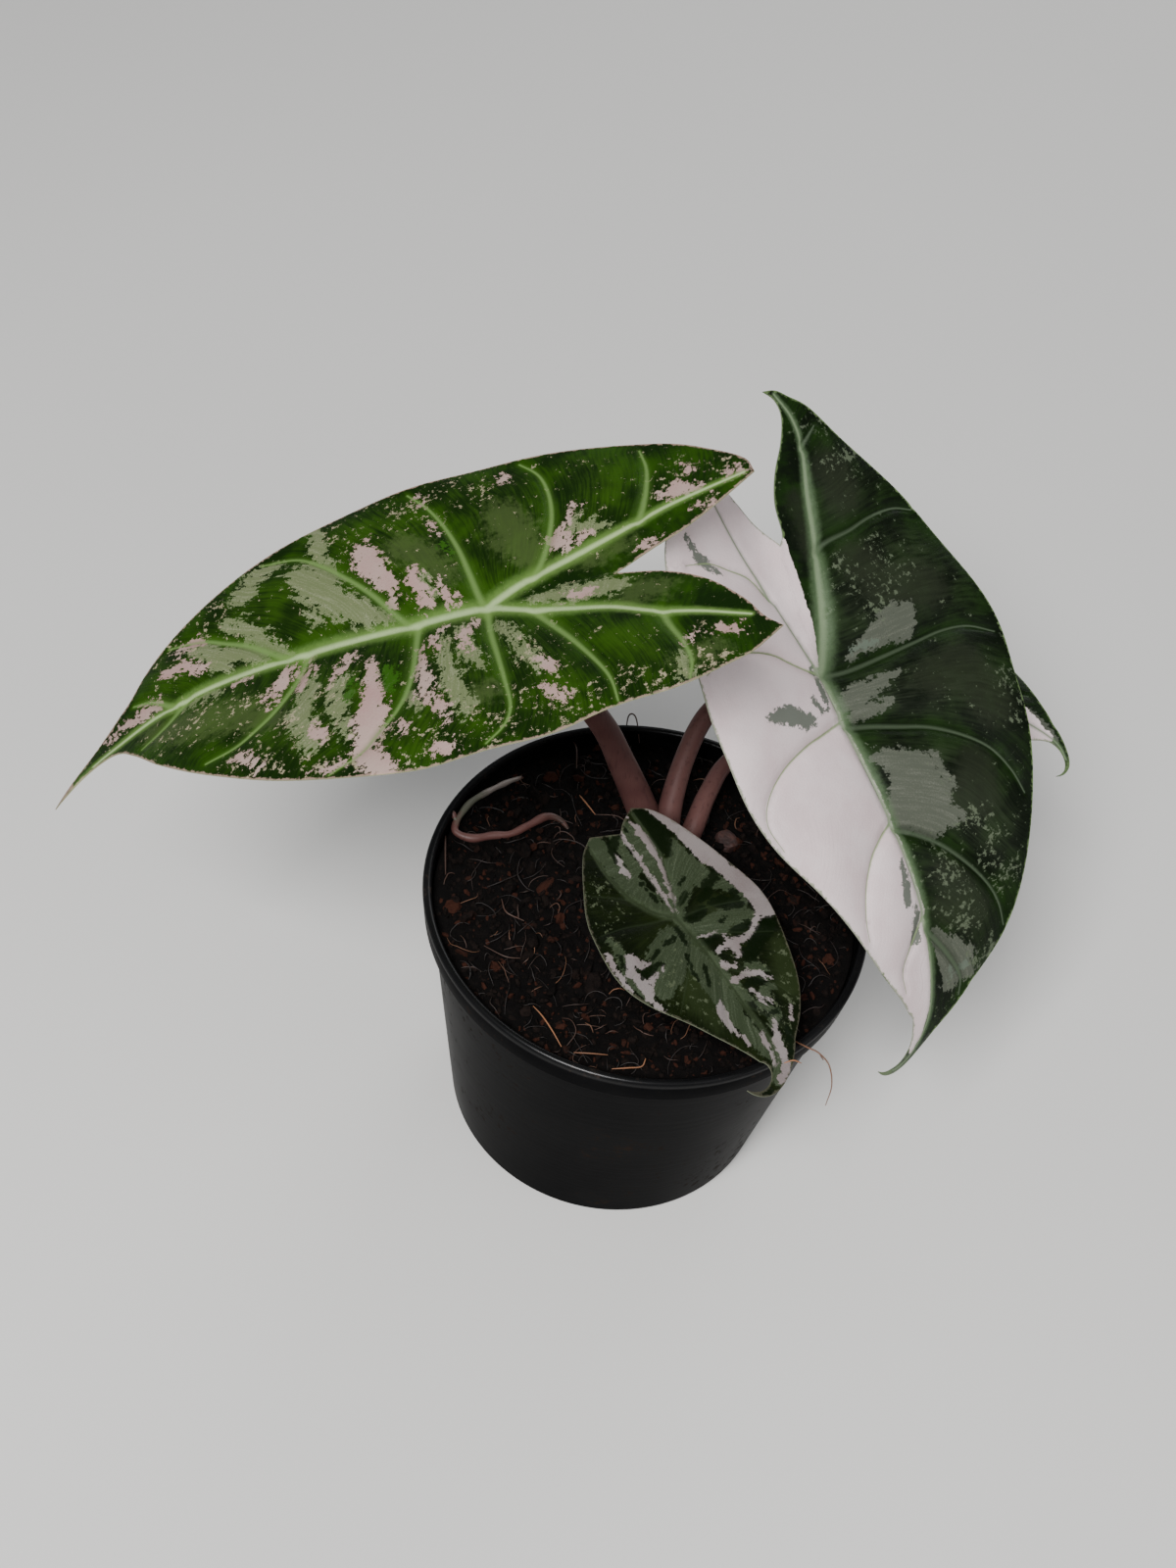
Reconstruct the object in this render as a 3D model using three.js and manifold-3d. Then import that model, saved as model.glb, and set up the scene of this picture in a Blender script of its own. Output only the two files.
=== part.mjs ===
// A variegated pink dragon alocasia in a 12 cm nursery pot.
// Millimetres, +Z up. The origin is the middle of the pot's underside, where it stands.
// +Y points to the back of the plant and +X to its right.
import * as THREE from "three";
import { mergeVertices } from "three/addons/utils/BufferGeometryUtils.js";
import Module from "manifold-3d";

const wasm = await Module();
wasm.setup();

// Driving dimensions of the pot
const POT_RIM_RADIUS = 60;
const POT_HEIGHT = 90;
const POT_FOOT_RADIUS = 46;
const POT_WALL = 1.3;
const COLLAR_HEIGHT = 9;
const COLLAR_STEP = 2.2;
const COLLAR_DRAFT = 0.8;
const LIP_WIDTH = 2.5;
const LIP_ROUNDING = 0.5;
const LIP_SHOULDER = 1.3;
const POT_FLOOR = 1.8;
const FOOT_CHAMFER = 1.2;
const DRAIN_CHANNEL_RISE = 2.2;
const DRAIN_CHANNEL_INNER = 20;
const DRAIN_CHANNEL_OUTER = 36;
const DRAIN_CHANNEL_SLOPE = 1.5;
const DRAIN_HOLES = 8;
const DRAIN_HOLE_RADIUS = 3.5;
const DRAIN_HOLE_SIDES = 12;
const POT_SEGMENTS = 60;

// Driving dimensions of the potting mix
const SOIL_LEVEL = 84.8;
const SOIL_MOUND = 1.0;
const SOIL_MOUND_SPREAD = 18;
const SOIL_LUMPS = 150;
const SOIL_LUMP_SPREAD = { least: 2.2, more: 3 };
const SOIL_LUMP_HEIGHT = { least: -0.7, more: 1.7 };
const SOIL_SEGMENTS = 60;
const SOIL_RINGS = 13;
const SOIL_SEED = 12;

// Driving dimensions of the plant
const CROWN = { x: 4, y: 15.5, radius: 8.2, bottom: 62, top: 90, sides: 18 };
const BLADE_THICKNESS = 0.8;
const RIB_DEPTH = 1.2;
const FOLD_ROUNDING = 4;
const LOBE_STEPS = 7;
const STALK_SIDES = 10;
const STALK_STEPS = 18;
const SHEATH_SHARE = 0.35;
const ROOT_RADIUS = 1.5;
const ROOT_END_SHARE = 0.55;
const ROOT_TAPER = { start: 0.12, end: 0.1 };
const ROOT_SIDES = 7;
const ROOT_STEPS = 32;
const CHIP = { x: 19.5, y: 25.5, length: 7.6, width: 5.6, height: 4.2, turn: -50, tilt: 14, raise: 0.9 };

// Clearance that neighbouring pieces keep
const CLEAR = 0.3;
// Bends and undulations of a blade are stated over this length
const SPAN = 100;
// How tightly smooth lines follow their points
const CURVE_TENSION = 0.5;
// Vertices nearer than this are one vertex
const MERGE_DISTANCE = 1e-4;

const DEGREE = Math.PI / 180;

// Each blade is drawn flat first: x runs along the midrib from the point where the
// stalk joins it, y across. "left" and "right" are its halves, seen from above and
// looking towards the tip. Each half gives the inner edge of its back lobe, from the
// sinus to the point of the lobe, and then the outer margin as far as the drip tip.
const BLADES = {
  left: {
    place: [-52.1, 4.1, 181],
    heading: 194,
    dip: 21.5,
    roll: 2,
    bend: { rise: 0, droop: -0.13, lobes: 0, fold: 0.14, arch: 0.18, twist: -0.07 },
    wave: { height: 0.7, count: 11 },
    hook: { from: 95, turn: 1.4 },
    sinus: [-31.5, -0.5],
    tip: [121, 0],
    left: {
      lobe: [[-43, 3.5], [-52.5, 10.5], [-60, 20.5], [-65, 31.5]],
      margin: [
        [-53, 40.3], [-41.5, 43.3], [-26, 43.9], [-11, 46.5], [5, 46.4], [20, 46], [37, 42.5],
        [55, 35.5], [73, 25.5], [85, 16.5], [93, 8.5], [99, 4], [108, 1.9],
      ],
    },
    right: {
      lobe: [[-41, -5.5], [-50.5, -10], [-60.5, -16.3], [-68.4, -22]],
      margin: [
        [-66.8, -27], [-60, -32.5], [-49, -39.3], [-33, -44.5], [-15, -46.5], [3, -47], [22, -45],
        [41.5, -40.5], [60, -33.5], [78, -24.5], [89, -16.5], [97, -8], [106, -2.6],
      ],
    },
    rings: 7,
    edge: 23,
  },
  half_moon: {
    place: [33.2, 37.2, 145],
    heading: -46,
    dip: 31,
    roll: -8,
    bend: { rise: 0.25, droop: -0.5, lobes: 0.2, fold: 0.29, arch: 0.08, twist: 0.23 },
    wave: { height: 0.5, count: 9 },
    hook: { from: 89, turn: -3.6 },
    sinus: [-35, 4.5],
    tip: [110.5, 0],
    left: {
      lobe: [[-43.5, 7], [-52.5, 10.6], [-61.2, 15.6], [-71, 18]],
      margin: [
        [-65.5, 27.5], [-54, 35], [-42, 41.5], [-30, 47], [-16, 51.5], [-2, 53.5],
        [10, 53], [22, 49.5], [38, 43.5], [55, 36], [70, 28], [81, 20.5], [88, 13],
        [93, 7], [98, 3.4], [104, 1.6],
      ],
    },
    right: {
      lobe: [[-42.5, -1], [-49, -5], [-55, -10], [-60, -17]],
      margin: [
        [-57.5, -27], [-51.5, -36], [-42.5, -43], [-30, -46], [-14, -46.5], [4, -47.5],
        [20, -48.5], [33, -44.5], [48, -36], [62, -28], [76, -19.5], [86, -11.5],
        [93, -6], [98, -3], [104, -1.5],
      ],
    },
    rings: 7,
    edge: 23,
  },
  front: {
    place: [7.1, -21.7, 110],
    heading: -43,
    dip: 12,
    roll: -5,
    bend: { rise: 0, droop: -0.3, lobes: 0.16, fold: 0.1, arch: 0.17, twist: -0.06 },
    wave: { height: 0.4, count: 7 },
    hook: { from: 42, turn: -8 },
    sinus: [-26, 1.2],
    tip: [55.5, 0],
    left: {
      lobe: [[-28.5, 4], [-30.5, 8]],
      margin: [
        [-27.5, 13], [-21, 17.5], [-9.5, 21.5], [3, 25.5], [16, 23.5], [28, 19.5],
        [36, 14], [41, 8.5], [44.5, 4.5], [49, 2],
      ],
    },
    right: {
      lobe: [[-27.5, -2.5], [-29, -7]],
      margin: [
        [-25.5, -12], [-18.5, -17.5], [-7.5, -23.5], [5.5, -26], [17, -22.5],
        [28, -14.5], [36, -8.5], [42, -4.8], [48, -2],
      ],
    },
    rings: 5,
    edge: 18,
  },
  back: {
    place: [59.5, 78, 114.4],
    heading: -17,
    dip: 2,
    roll: -3,
    bend: { rise: 0, droop: -0.28, lobes: 0.1, fold: 0.15, arch: 0.15, twist: 0 },
    wave: { height: 0.4, count: 7 },
    hook: { from: 47, turn: -9 },
    sinus: [-16, 0],
    tip: [62, 0],
    left: {
      lobe: [[-24, 4], [-33, 10]],
      margin: [
        [-30, 17], [-20, 20.5], [-7, 22.7], [7, 22.7], [20, 19.5], [32, 13.8],
        [42, 7], [48, 3], [54, 1.5],
      ],
    },
    right: {
      lobe: [[-24, -4], [-33, -10]],
      margin: [
        [-30, -17], [-20, -20.5], [-7, -22.7], [7, -22.7], [20, -19.5], [32, -13.8],
        [42, -7], [48, -3], [54, -1.5],
      ],
    },
    rings: 5,
    edge: 18,
  },
};

// A stalk's route from the crown, its radius there, above its sheath and at the blade,
// and how far below the blade its last straight stretch starts.
const STALKS = {
  left: {
    route: [
      [3, 16.5, 84], [-5.4, 21.2, 98.5], [-12.9, 23.3, 112.5], [-20.8, 22.1, 129],
      [-35, 15, 153],
    ],
    radii: [4.9, 3.5, 2.3],
    neck: 7,
  },
  half_moon: {
    route: [
      [4, 16, 84], [2, 21.8, 98], [3.6, 33.6, 109.5], [7.8, 41.4, 120], [17, 44.5, 128.5],
    ],
    radii: [3.9, 2.8, 2.2],
    neck: 8,
  },
  back: {
    route: [
      [5.5, 16, 84], [8.9, 20.2, 93.5], [11.6, 31, 98.2], [16.4, 42.8, 100.5],
      [32, 61, 104.5], [49, 73.5, 107],
    ],
    radii: [3.3, 2.3, 1.8],
    neck: 4,
  },
  front: {
    route: [[4, 13.5, 84], [4.6, 6, 93], [5.4, -6, 99.5]],
    radii: [3.2, 2.3, 1.8],
    neck: 5,
  },
};

// The surface root: a fresh white end, a hairpin beside the pot's wall, then back
// into the mix.
const ROOT_ROUTE = [
  [-38.6, 37, 84.4], [-42.8, 31.8, 86.8], [-47, 26.2, 88], [-50.8, 21, 88.2],
  [-52.8, 16.3, 87.8], [-53.4, 13.1, 87.2], [-52.6, 10.9, 86.8], [-48.6, 10.3, 86.5],
  [-43.9, 12.7, 86.3], [-39.2, 14.3, 86.3], [-35, 18, 86.5], [-30.6, 22.2, 86.6],
  [-26.8, 22.6, 85.8], [-23.4, 20.6, 84],
];

// Random numbers between 0 and 1 from a seed (the Mulberry32 generator), so that the
// mix is the same each time.
function randomSource(seed) {
  let state = seed;
  return () => {
    state = (state + 0x6d2b79f5) | 0;
    let mixed = Math.imul(state ^ (state >>> 15), 1 | state);
    mixed = (mixed + Math.imul(mixed ^ (mixed >>> 7), 61 | mixed)) ^ mixed;
    return ((mixed ^ (mixed >>> 14)) >>> 0) / 4294967296;
  };
}

// A closed geometry from its vertices and triangles.
function geometryOf(vertices, triangles) {
  const geometry = new THREE.BufferGeometry();
  geometry.setAttribute("position", new THREE.Float32BufferAttribute(vertices.flat(), 3));
  geometry.setIndex(triangles.flat());
  return geometry;
}

// A geometry as a solid that can be cut.
function solidOf(geometry) {
  const bare = geometry.clone();
  bare.deleteAttribute("normal");
  bare.deleteAttribute("uv");
  const merged = mergeVertices(bare, MERGE_DISTANCE);
  return new wasm.Manifold(
    new wasm.Mesh({
      numProp: 3,
      vertProperties: new Float32Array(merged.attributes.position.array),
      triVerts: new Uint32Array(merged.index.array),
    }),
  );
}

// A solid as a geometry again.
function geometryOfSolid(solid) {
  const mesh = solid.getMesh();
  const geometry = new THREE.BufferGeometry();
  geometry.setAttribute("position", new THREE.BufferAttribute(mesh.vertProperties, 3));
  geometry.setIndex(new THREE.BufferAttribute(mesh.triVerts, 1));
  return geometry;
}

// One solid less each of the others.
function cut(solid, others) {
  return others.reduce((left, other) => left.subtract(other), solid);
}

// A body turned about the Z axis from a profile of [radius, height] points that runs
// from the axis at its underside, up the outside and back to the axis.
function turned(profile, segments) {
  const points = profile.map(([radius, height]) => new THREE.Vector2(radius, height));
  return new THREE.LatheGeometry(points, segments).rotateX(Math.PI / 2);
}

// The smooth curve that all outlines and routes follow.
function smoothCurve(points) {
  const through = points.map(([x, y, z = 0]) => new THREE.Vector3(x, y, z));
  return new THREE.CatmullRomCurve3(through, false, "catmullrom", CURVE_TENSION);
}

// Flat [x, y] points, count + 1 of them, along a smooth line.
function smoothLine(points, count) {
  return smoothCurve(points).getPoints(count).map((point) => [point.x, point.y]);
}

// The flat outline of a blade from the sinus along its right half to the drip tip and
// back along its left half. Each point is [x, y, rib], where rib is 1 at the corners,
// because the ribs of the underside run from the stalk to them, and 0 elsewhere.
function bladeOutline(blade) {
  const half = ({ lobe, margin }) => {
    const inner = smoothLine([blade.sinus, ...lobe], LOBE_STEPS);
    const outer = smoothLine([lobe.at(-1), ...margin, blade.tip], blade.edge);
    return { inner, outer };
  };
  const right = half(blade.right);
  const left = half(blade.left);
  const stretches = [right.inner, right.outer, left.outer.toReversed(), left.inner.toReversed()];
  return stretches.flatMap((points) =>
    points.slice(0, -1).map(([x, y], i) => [x, y, i === 0 ? 1 : 0]),
  );
}

// The drip tip turns sideways in the blade's own surface past hook.from.
function hooked(hook, x, y) {
  const past = x - hook.from;
  if (past <= 0) return [x, y];
  const perMillimetre = hook.turn * DEGREE;
  const radius = 1 / perMillimetre;
  const turn = past * perMillimetre;
  return [hook.from + (radius - y) * Math.sin(turn), radius - (radius - y) * Math.cos(turn)];
}

// Height of the blade above its flat plane: a curve along the midrib, a fold along
// it whose halves arch over towards the margins, and a twist.
function bladeHeight(bend, x, y) {
  const ahead = Math.max(x, 0) / SPAN;
  const behind = Math.min(x, 0) / SPAN;
  const across = y / SPAN;
  const along = bend.rise * ahead ** 2 + bend.droop * ahead ** 3 + bend.lobes * behind ** 2;
  const fold = bend.fold * (Math.hypot(y, FOLD_ROUNDING) - FOLD_ROUNDING);
  return fold + SPAN * (along - bend.arch * across ** 2 + bend.twist * across * (ahead + behind));
}

// A blade: rings of its outline, drawn in towards the stalk, on both faces.
function bladeGeometry(blade) {
  const outline = bladeOutline(blade);
  const count = outline.length;
  const vertices = [];
  const triangles = [];
  const addPoint = (flatX, flatY, ring, rib) => {
    const [x, y] = hooked(blade.hook, flatX, flatY);
    const angle = Math.atan2(flatY, flatX);
    const ripple = blade.wave.height * ring ** 3 * Math.sin(blade.wave.count * angle);
    const top = bladeHeight(blade.bend, x, y) + ripple;
    vertices.push([x, y, top], [x, y, top - BLADE_THICKNESS - rib * RIB_DEPTH * (1 - ring)]);
  };
  addPoint(0, 0, 0, 1);
  for (let ring = 1; ring <= blade.rings; ring++) {
    const share = ring / blade.rings;
    for (const [x, y, rib] of outline) addPoint(x * share, y * share, share, rib);
  }
  const at = (ring, i) => (ring === 0 ? 0 : 2 * (1 + (ring - 1) * count + (i % count)));
  const face = (a, b, c) => triangles.push([a, b, c], [a + 1, c + 1, b + 1]);
  for (let i = 0; i < count; i++) {
    face(0, at(1, i), at(1, i + 1));
    for (let ring = 1; ring < blade.rings; ring++) {
      face(at(ring, i), at(ring + 1, i), at(ring + 1, i + 1));
      face(at(ring, i), at(ring + 1, i + 1), at(ring, i + 1));
    }
    const a = at(blade.rings, i);
    const b = at(blade.rings, i + 1);
    triangles.push([a, a + 1, b + 1], [a, b + 1, b]);
  }
  return geometryOf(vertices, triangles);
}

// The turn of a blade in space: heading about Z, then the dip of its tip, then roll.
function bladeTurn(blade) {
  const angles = [blade.roll * DEGREE, blade.dip * DEGREE, blade.heading * DEGREE];
  return new THREE.Euler(...angles, "ZYX");
}

// A round stalk or root along a smooth route, with a radius for each share of it.
function tube(route, radiusAt, sides, steps) {
  const curve = smoothCurve(route);
  const frames = curve.computeFrenetFrames(steps, false);
  const vertices = [];
  const triangles = [];
  for (let step = 0; step <= steps; step++) {
    const centre = curve.getPointAt(step / steps);
    const radius = radiusAt(step / steps);
    for (let side = 0; side < sides; side++) {
      const angle = (2 * Math.PI * side) / sides;
      const point = centre.clone();
      point.addScaledVector(frames.normals[step], radius * Math.cos(angle));
      point.addScaledVector(frames.binormals[step], radius * Math.sin(angle));
      vertices.push(point.toArray());
    }
  }
  const at = (step, side) => step * sides + (side % sides);
  for (let step = 0; step < steps; step++) {
    for (let side = 0; side < sides; side++) {
      const [a, b] = [at(step, side), at(step, side + 1)];
      const [c, d] = [at(step + 1, side), at(step + 1, side + 1)];
      triangles.push([a, b, d], [a, d, c]);
    }
  }
  vertices.push(curve.getPointAt(0).toArray(), curve.getPointAt(1).toArray());
  const start = vertices.length - 2;
  for (let side = 0; side < sides; side++) {
    triangles.push([start, at(0, side + 1), at(0, side)]);
    triangles.push([start + 1, at(steps, side), at(steps, side + 1)]);
  }
  return geometryOf(vertices, triangles);
}

// A stalk, grown by extra all round where it is used to cut its neighbours. It ends
// square to the blade, just under its midrib.
function stalkGeometry(name, extra) {
  const { route, radii, neck } = STALKS[name];
  const blade = BLADES[name];
  const up = new THREE.Vector3(0, 0, 1).applyEuler(bladeTurn(blade));
  const below = (distance) => {
    const joint = new THREE.Vector3(...blade.place);
    return joint.addScaledVector(up, -distance).toArray();
  };
  const seat = BLADE_THICKNESS + RIB_DEPTH + CLEAR;
  const [base, middle, end] = radii;
  const radiusAt = (share) => {
    const sheath = Math.min(1, share / SHEATH_SHARE);
    const shaft = Math.max(0, (share - SHEATH_SHARE) / (1 - SHEATH_SHARE));
    return extra + base + (middle - base) * sheath + (end - middle) * shaft;
  };
  return tube([...route, below(seat + neck), below(seat)], radiusAt, STALK_SIDES, STALK_STEPS);
}

// The crown: the short thick stem that carries all the stalks.
function crownGeometry(extra) {
  const { radius, bottom, top } = CROWN;
  const profile = [
    [0, bottom - extra],
    [radius * 0.7 + extra, bottom - extra],
    [radius * 0.95 + extra, bottom + 5],
    [radius + extra, bottom + 14],
    [radius * 0.97 + extra, top - 6],
    [radius * 0.8 + extra, top - 2.5 + extra],
    [radius * 0.45 + extra, top - 0.6 + extra],
    [0, top + extra],
  ];
  return turned(profile, CROWN.sides).translate(CROWN.x, CROWN.y, 0);
}

// The top of the tapered wall, under the collar.
const WALL_TOP = POT_HEIGHT - COLLAR_HEIGHT;
const WALL_TOP_RADIUS = POT_RIM_RADIUS - COLLAR_STEP - COLLAR_DRAFT;

// The pot's inner face as [radius, height] points, from the floor up to the lip.
function potInnerProfile() {
  const collarInside = POT_RIM_RADIUS - LIP_WIDTH;
  return [
    [POT_FOOT_RADIUS - POT_WALL, POT_FLOOR + FOOT_CHAMFER],
    [WALL_TOP_RADIUS - POT_WALL, WALL_TOP - LIP_ROUNDING],
    [collarInside - CLEAR, WALL_TOP + POT_WALL],
    [collarInside, POT_HEIGHT - LIP_SHOULDER],
  ];
}

// The pot: a tapered wall with a collar and a rolled lip, and a raised ring in its
// underside that carries the drain holes clear of the table.
function potGeometry() {
  const underside = [
    [0, 0],
    [DRAIN_CHANNEL_INNER - DRAIN_CHANNEL_SLOPE, 0],
    [DRAIN_CHANNEL_INNER, DRAIN_CHANNEL_RISE],
    [DRAIN_CHANNEL_OUTER, DRAIN_CHANNEL_RISE],
    [DRAIN_CHANNEL_OUTER + DRAIN_CHANNEL_SLOPE, 0],
    [POT_FOOT_RADIUS - FOOT_CHAMFER, 0],
  ];
  const outside = [
    [POT_FOOT_RADIUS, FOOT_CHAMFER],
    [WALL_TOP_RADIUS, WALL_TOP],
    [POT_RIM_RADIUS - COLLAR_DRAFT, WALL_TOP + LIP_ROUNDING],
    [POT_RIM_RADIUS, POT_HEIGHT - LIP_SHOULDER],
    [POT_RIM_RADIUS - LIP_ROUNDING, POT_HEIGHT - LIP_ROUNDING / 2],
    [POT_RIM_RADIUS - LIP_WIDTH / 2, POT_HEIGHT],
    [POT_RIM_RADIUS - LIP_WIDTH + LIP_ROUNDING, POT_HEIGHT - LIP_ROUNDING / 2],
  ];
  const floor = [
    [POT_FOOT_RADIUS - POT_WALL - FOOT_CHAMFER, POT_FLOOR],
    [DRAIN_CHANNEL_OUTER + DRAIN_CHANNEL_SLOPE, POT_FLOOR],
    [DRAIN_CHANNEL_OUTER, DRAIN_CHANNEL_RISE + POT_FLOOR],
    [DRAIN_CHANNEL_INNER, DRAIN_CHANNEL_RISE + POT_FLOOR],
    [DRAIN_CHANNEL_INNER - DRAIN_CHANNEL_SLOPE, POT_FLOOR],
    [0, POT_FLOOR],
  ];
  const inside = potInnerProfile().toReversed();
  const body = solidOf(turned([...underside, ...outside, ...inside, ...floor], POT_SEGMENTS));
  const ringRadius = (DRAIN_CHANNEL_INNER + DRAIN_CHANNEL_OUTER) / 2;
  const holeDepth = 2 * (DRAIN_CHANNEL_RISE + POT_FLOOR + CLEAR);
  const holes = [];
  for (let i = 0; i < DRAIN_HOLES; i++) {
    const angle = (2 * Math.PI * (i + 0.5)) / DRAIN_HOLES;
    const size = [DRAIN_HOLE_RADIUS, DRAIN_HOLE_RADIUS, holeDepth, DRAIN_HOLE_SIDES];
    const hole = new THREE.CylinderGeometry(...size).rotateX(Math.PI / 2);
    hole.translate(ringRadius * Math.cos(angle), ringRadius * Math.sin(angle), 0);
    holes.push(solidOf(hole));
  }
  return geometryOfSolid(cut(body, holes));
}

// Height of the mix at a point: nearly level, a low mound at the crown, and lumps.
function soilRelief() {
  const random = randomSource(SOIL_SEED);
  const between = ({ least, more }) => least + more * random();
  const lumps = [];
  for (let i = 0; i < SOIL_LUMPS; i++) {
    const angle = 2 * Math.PI * random();
    const distance = POT_RIM_RADIUS * Math.sqrt(random());
    lumps.push({
      x: distance * Math.cos(angle),
      y: distance * Math.sin(angle),
      spread: between(SOIL_LUMP_SPREAD),
      height: between(SOIL_LUMP_HEIGHT),
    });
  }
  return (x, y) => {
    const fromCrown = Math.hypot(x - CROWN.x, y - CROWN.y);
    let height = SOIL_LEVEL + SOIL_MOUND * Math.exp(-((fromCrown / SOIL_MOUND_SPREAD) ** 2));
    for (const lump of lumps) {
      const near = ((x - lump.x) ** 2 + (y - lump.y) ** 2) / lump.spread ** 2;
      height += lump.height * Math.exp(-near);
    }
    return height;
  };
}

// The mix: a lumpy top on a body that follows the inside of the pot.
function soilGeometry() {
  const heightAt = soilRelief();
  const [foot, wallTop, collar] = potInnerProfile();
  const sides = [
    [collar[0] - CLEAR, collar[1] + CLEAR],
    [wallTop[0] - CLEAR, wallTop[1]],
    [foot[0] - CLEAR, DRAIN_CHANNEL_RISE + POT_FLOOR + CLEAR],
  ];
  const topRadius = sides[0][0];
  const vertices = [[0, 0, heightAt(0, 0)]];
  const triangles = [];
  const addRing = (radius, heightOf) => {
    for (let i = 0; i < SOIL_SEGMENTS; i++) {
      const angle = (2 * Math.PI * i) / SOIL_SEGMENTS;
      const [x, y] = [radius * Math.cos(angle), radius * Math.sin(angle)];
      vertices.push([x, y, heightOf(x, y)]);
    }
  };
  for (let ring = 1; ring <= SOIL_RINGS; ring++) addRing((topRadius * ring) / SOIL_RINGS, heightAt);
  for (const [radius, height] of sides) addRing(radius, () => height);
  vertices.push([0, 0, sides[2][1]]);
  const rings = SOIL_RINGS + sides.length;
  const at = (ring, i) => 1 + (ring - 1) * SOIL_SEGMENTS + (i % SOIL_SEGMENTS);
  for (let i = 0; i < SOIL_SEGMENTS; i++) {
    triangles.push([0, at(1, i), at(1, i + 1)]);
    for (let ring = 1; ring < rings; ring++) {
      triangles.push([at(ring, i), at(ring + 1, i), at(ring + 1, i + 1)]);
      triangles.push([at(ring, i), at(ring + 1, i + 1), at(ring, i + 1)]);
    }
    triangles.push([vertices.length - 1, at(rings, i + 1), at(rings, i)]);
  }
  return geometryOf(vertices, triangles);
}

// The surface root tapers to both of its ends.
function rootGeometry(extra) {
  const radiusAt = (share) => {
    const taper = Math.min(1, share / ROOT_TAPER.start, (1 - share) / ROOT_TAPER.end);
    return extra + ROOT_RADIUS * (ROOT_END_SHARE + (1 - ROOT_END_SHARE) * taper);
  };
  return tube(ROOT_ROUTE, radiusAt, ROOT_SIDES, ROOT_STEPS);
}

// A rounded chip of bark that lies in the mix beside the crown.
function chipGeometry(extra, soilHeight) {
  const { x, y, length, width, height, turn, tilt, raise } = CHIP;
  const chip = new THREE.IcosahedronGeometry(1, 2);
  chip.scale(length / 2 + extra, width / 2 + extra, height / 2 + extra);
  chip.rotateX(tilt * DEGREE);
  chip.rotateZ(turn * DEGREE);
  return chip.translate(x, y, soilHeight(x, y) + raise);
}

// The finish of a piece: none of them is metal.
function material(color, roughness) {
  return new THREE.MeshStandardMaterial({ color, roughness, metalness: 0 });
}

const plant = new THREE.Group();

function addMesh(name, geometry, finish) {
  const mesh = new THREE.Mesh(geometry, finish);
  mesh.name = name;
  plant.add(mesh);
  return mesh;
}

const soilHeight = soilRelief();
const stalkNames = Object.keys(STALKS);
const grownCrown = solidOf(crownGeometry(CLEAR));
const grownStalks = stalkNames.map((name) => solidOf(stalkGeometry(name, CLEAR)));

addMesh("nursery_pot", potGeometry(), material(0x0b0b0c, 0.42));

const inTheMix = [
  grownCrown,
  ...grownStalks,
  solidOf(rootGeometry(CLEAR)),
  solidOf(chipGeometry(CLEAR, soilHeight)),
];
const mix = cut(solidOf(soilGeometry()), inTheMix);
addMesh("potting_mix", geometryOfSolid(mix), material(0x17110d, 0.95));

addMesh("crown", crownGeometry(0), material(0x4a2f2c, 0.7));

// Each stalk clasps the crown and the stalks that grew before it.
stalkNames.forEach((name, i) => {
  const solid = cut(solidOf(stalkGeometry(name, 0)), [grownCrown, ...grownStalks.slice(0, i)]);
  addMesh(`stalk_${name}`, geometryOfSolid(solid), material(0x5b3336, 0.55));
});

addMesh("surface_root", rootGeometry(0), material(0x8e5a50, 0.6));
addMesh("bark_chip", chipGeometry(0, soilHeight), material(0x5a2418, 0.8));

const bladeColors = { left: 0x2f6b12, half_moon: 0x8f8a86, front: 0x4d5a45, back: 0x24401c };
for (const [name, blade] of Object.entries(BLADES)) {
  const mesh = addMesh(`blade_${name}`, bladeGeometry(blade), material(bladeColors[name], 0.4));
  mesh.position.set(...blade.place);
  mesh.rotation.copy(bladeTurn(blade));
}

export default plant;
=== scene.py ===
# %% [markdown]
# # A potted variegated alocasia
#
# This notebook dresses a small house plant: four arrow-shaped leaves on pinkish stalks,
# growing from dark potting mix in a black nursery pot. The packed model is the fixed
# frame. Every piece made here sits where the frame says, in metres, with +Z up and the
# origin in the middle of the pot's underside.

# %% Load the frame
import math
import random

import bmesh
import bpy
import numpy as np
from mathutils import Matrix, Vector, geometry, noise


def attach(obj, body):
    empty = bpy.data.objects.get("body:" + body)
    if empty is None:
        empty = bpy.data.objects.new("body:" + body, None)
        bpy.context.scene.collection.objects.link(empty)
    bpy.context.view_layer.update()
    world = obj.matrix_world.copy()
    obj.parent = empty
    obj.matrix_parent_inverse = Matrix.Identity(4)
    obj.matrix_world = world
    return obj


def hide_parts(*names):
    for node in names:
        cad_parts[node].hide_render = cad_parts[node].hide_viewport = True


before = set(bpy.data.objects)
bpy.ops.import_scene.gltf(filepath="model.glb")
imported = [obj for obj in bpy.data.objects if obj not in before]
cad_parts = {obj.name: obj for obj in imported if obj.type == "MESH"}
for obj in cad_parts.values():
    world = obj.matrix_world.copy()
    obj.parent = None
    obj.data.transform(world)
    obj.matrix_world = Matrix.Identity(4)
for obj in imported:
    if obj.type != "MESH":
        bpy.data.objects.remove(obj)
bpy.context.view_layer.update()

MM = 0.001
print("nodes in the frame:", ", ".join(sorted(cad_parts)))

# %% [markdown]
# ## The camera
#
# The plant is seen from above and in front, and the picture is turned a little. A camera
# can be aimed by its angles, but building its three axes by hand makes the turn plain:
# first the view at its elevation, then the roll of right and up about the line of sight.

# %% Camera
CAMERA_PLACE = (-20.98, -357.3, 548.5)
CAMERA_ELEVATION = math.radians(49.55)
CAMERA_ROLL = math.radians(10.49)
CAMERA_LENS = 50
CAMERA_FILM = 36


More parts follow.
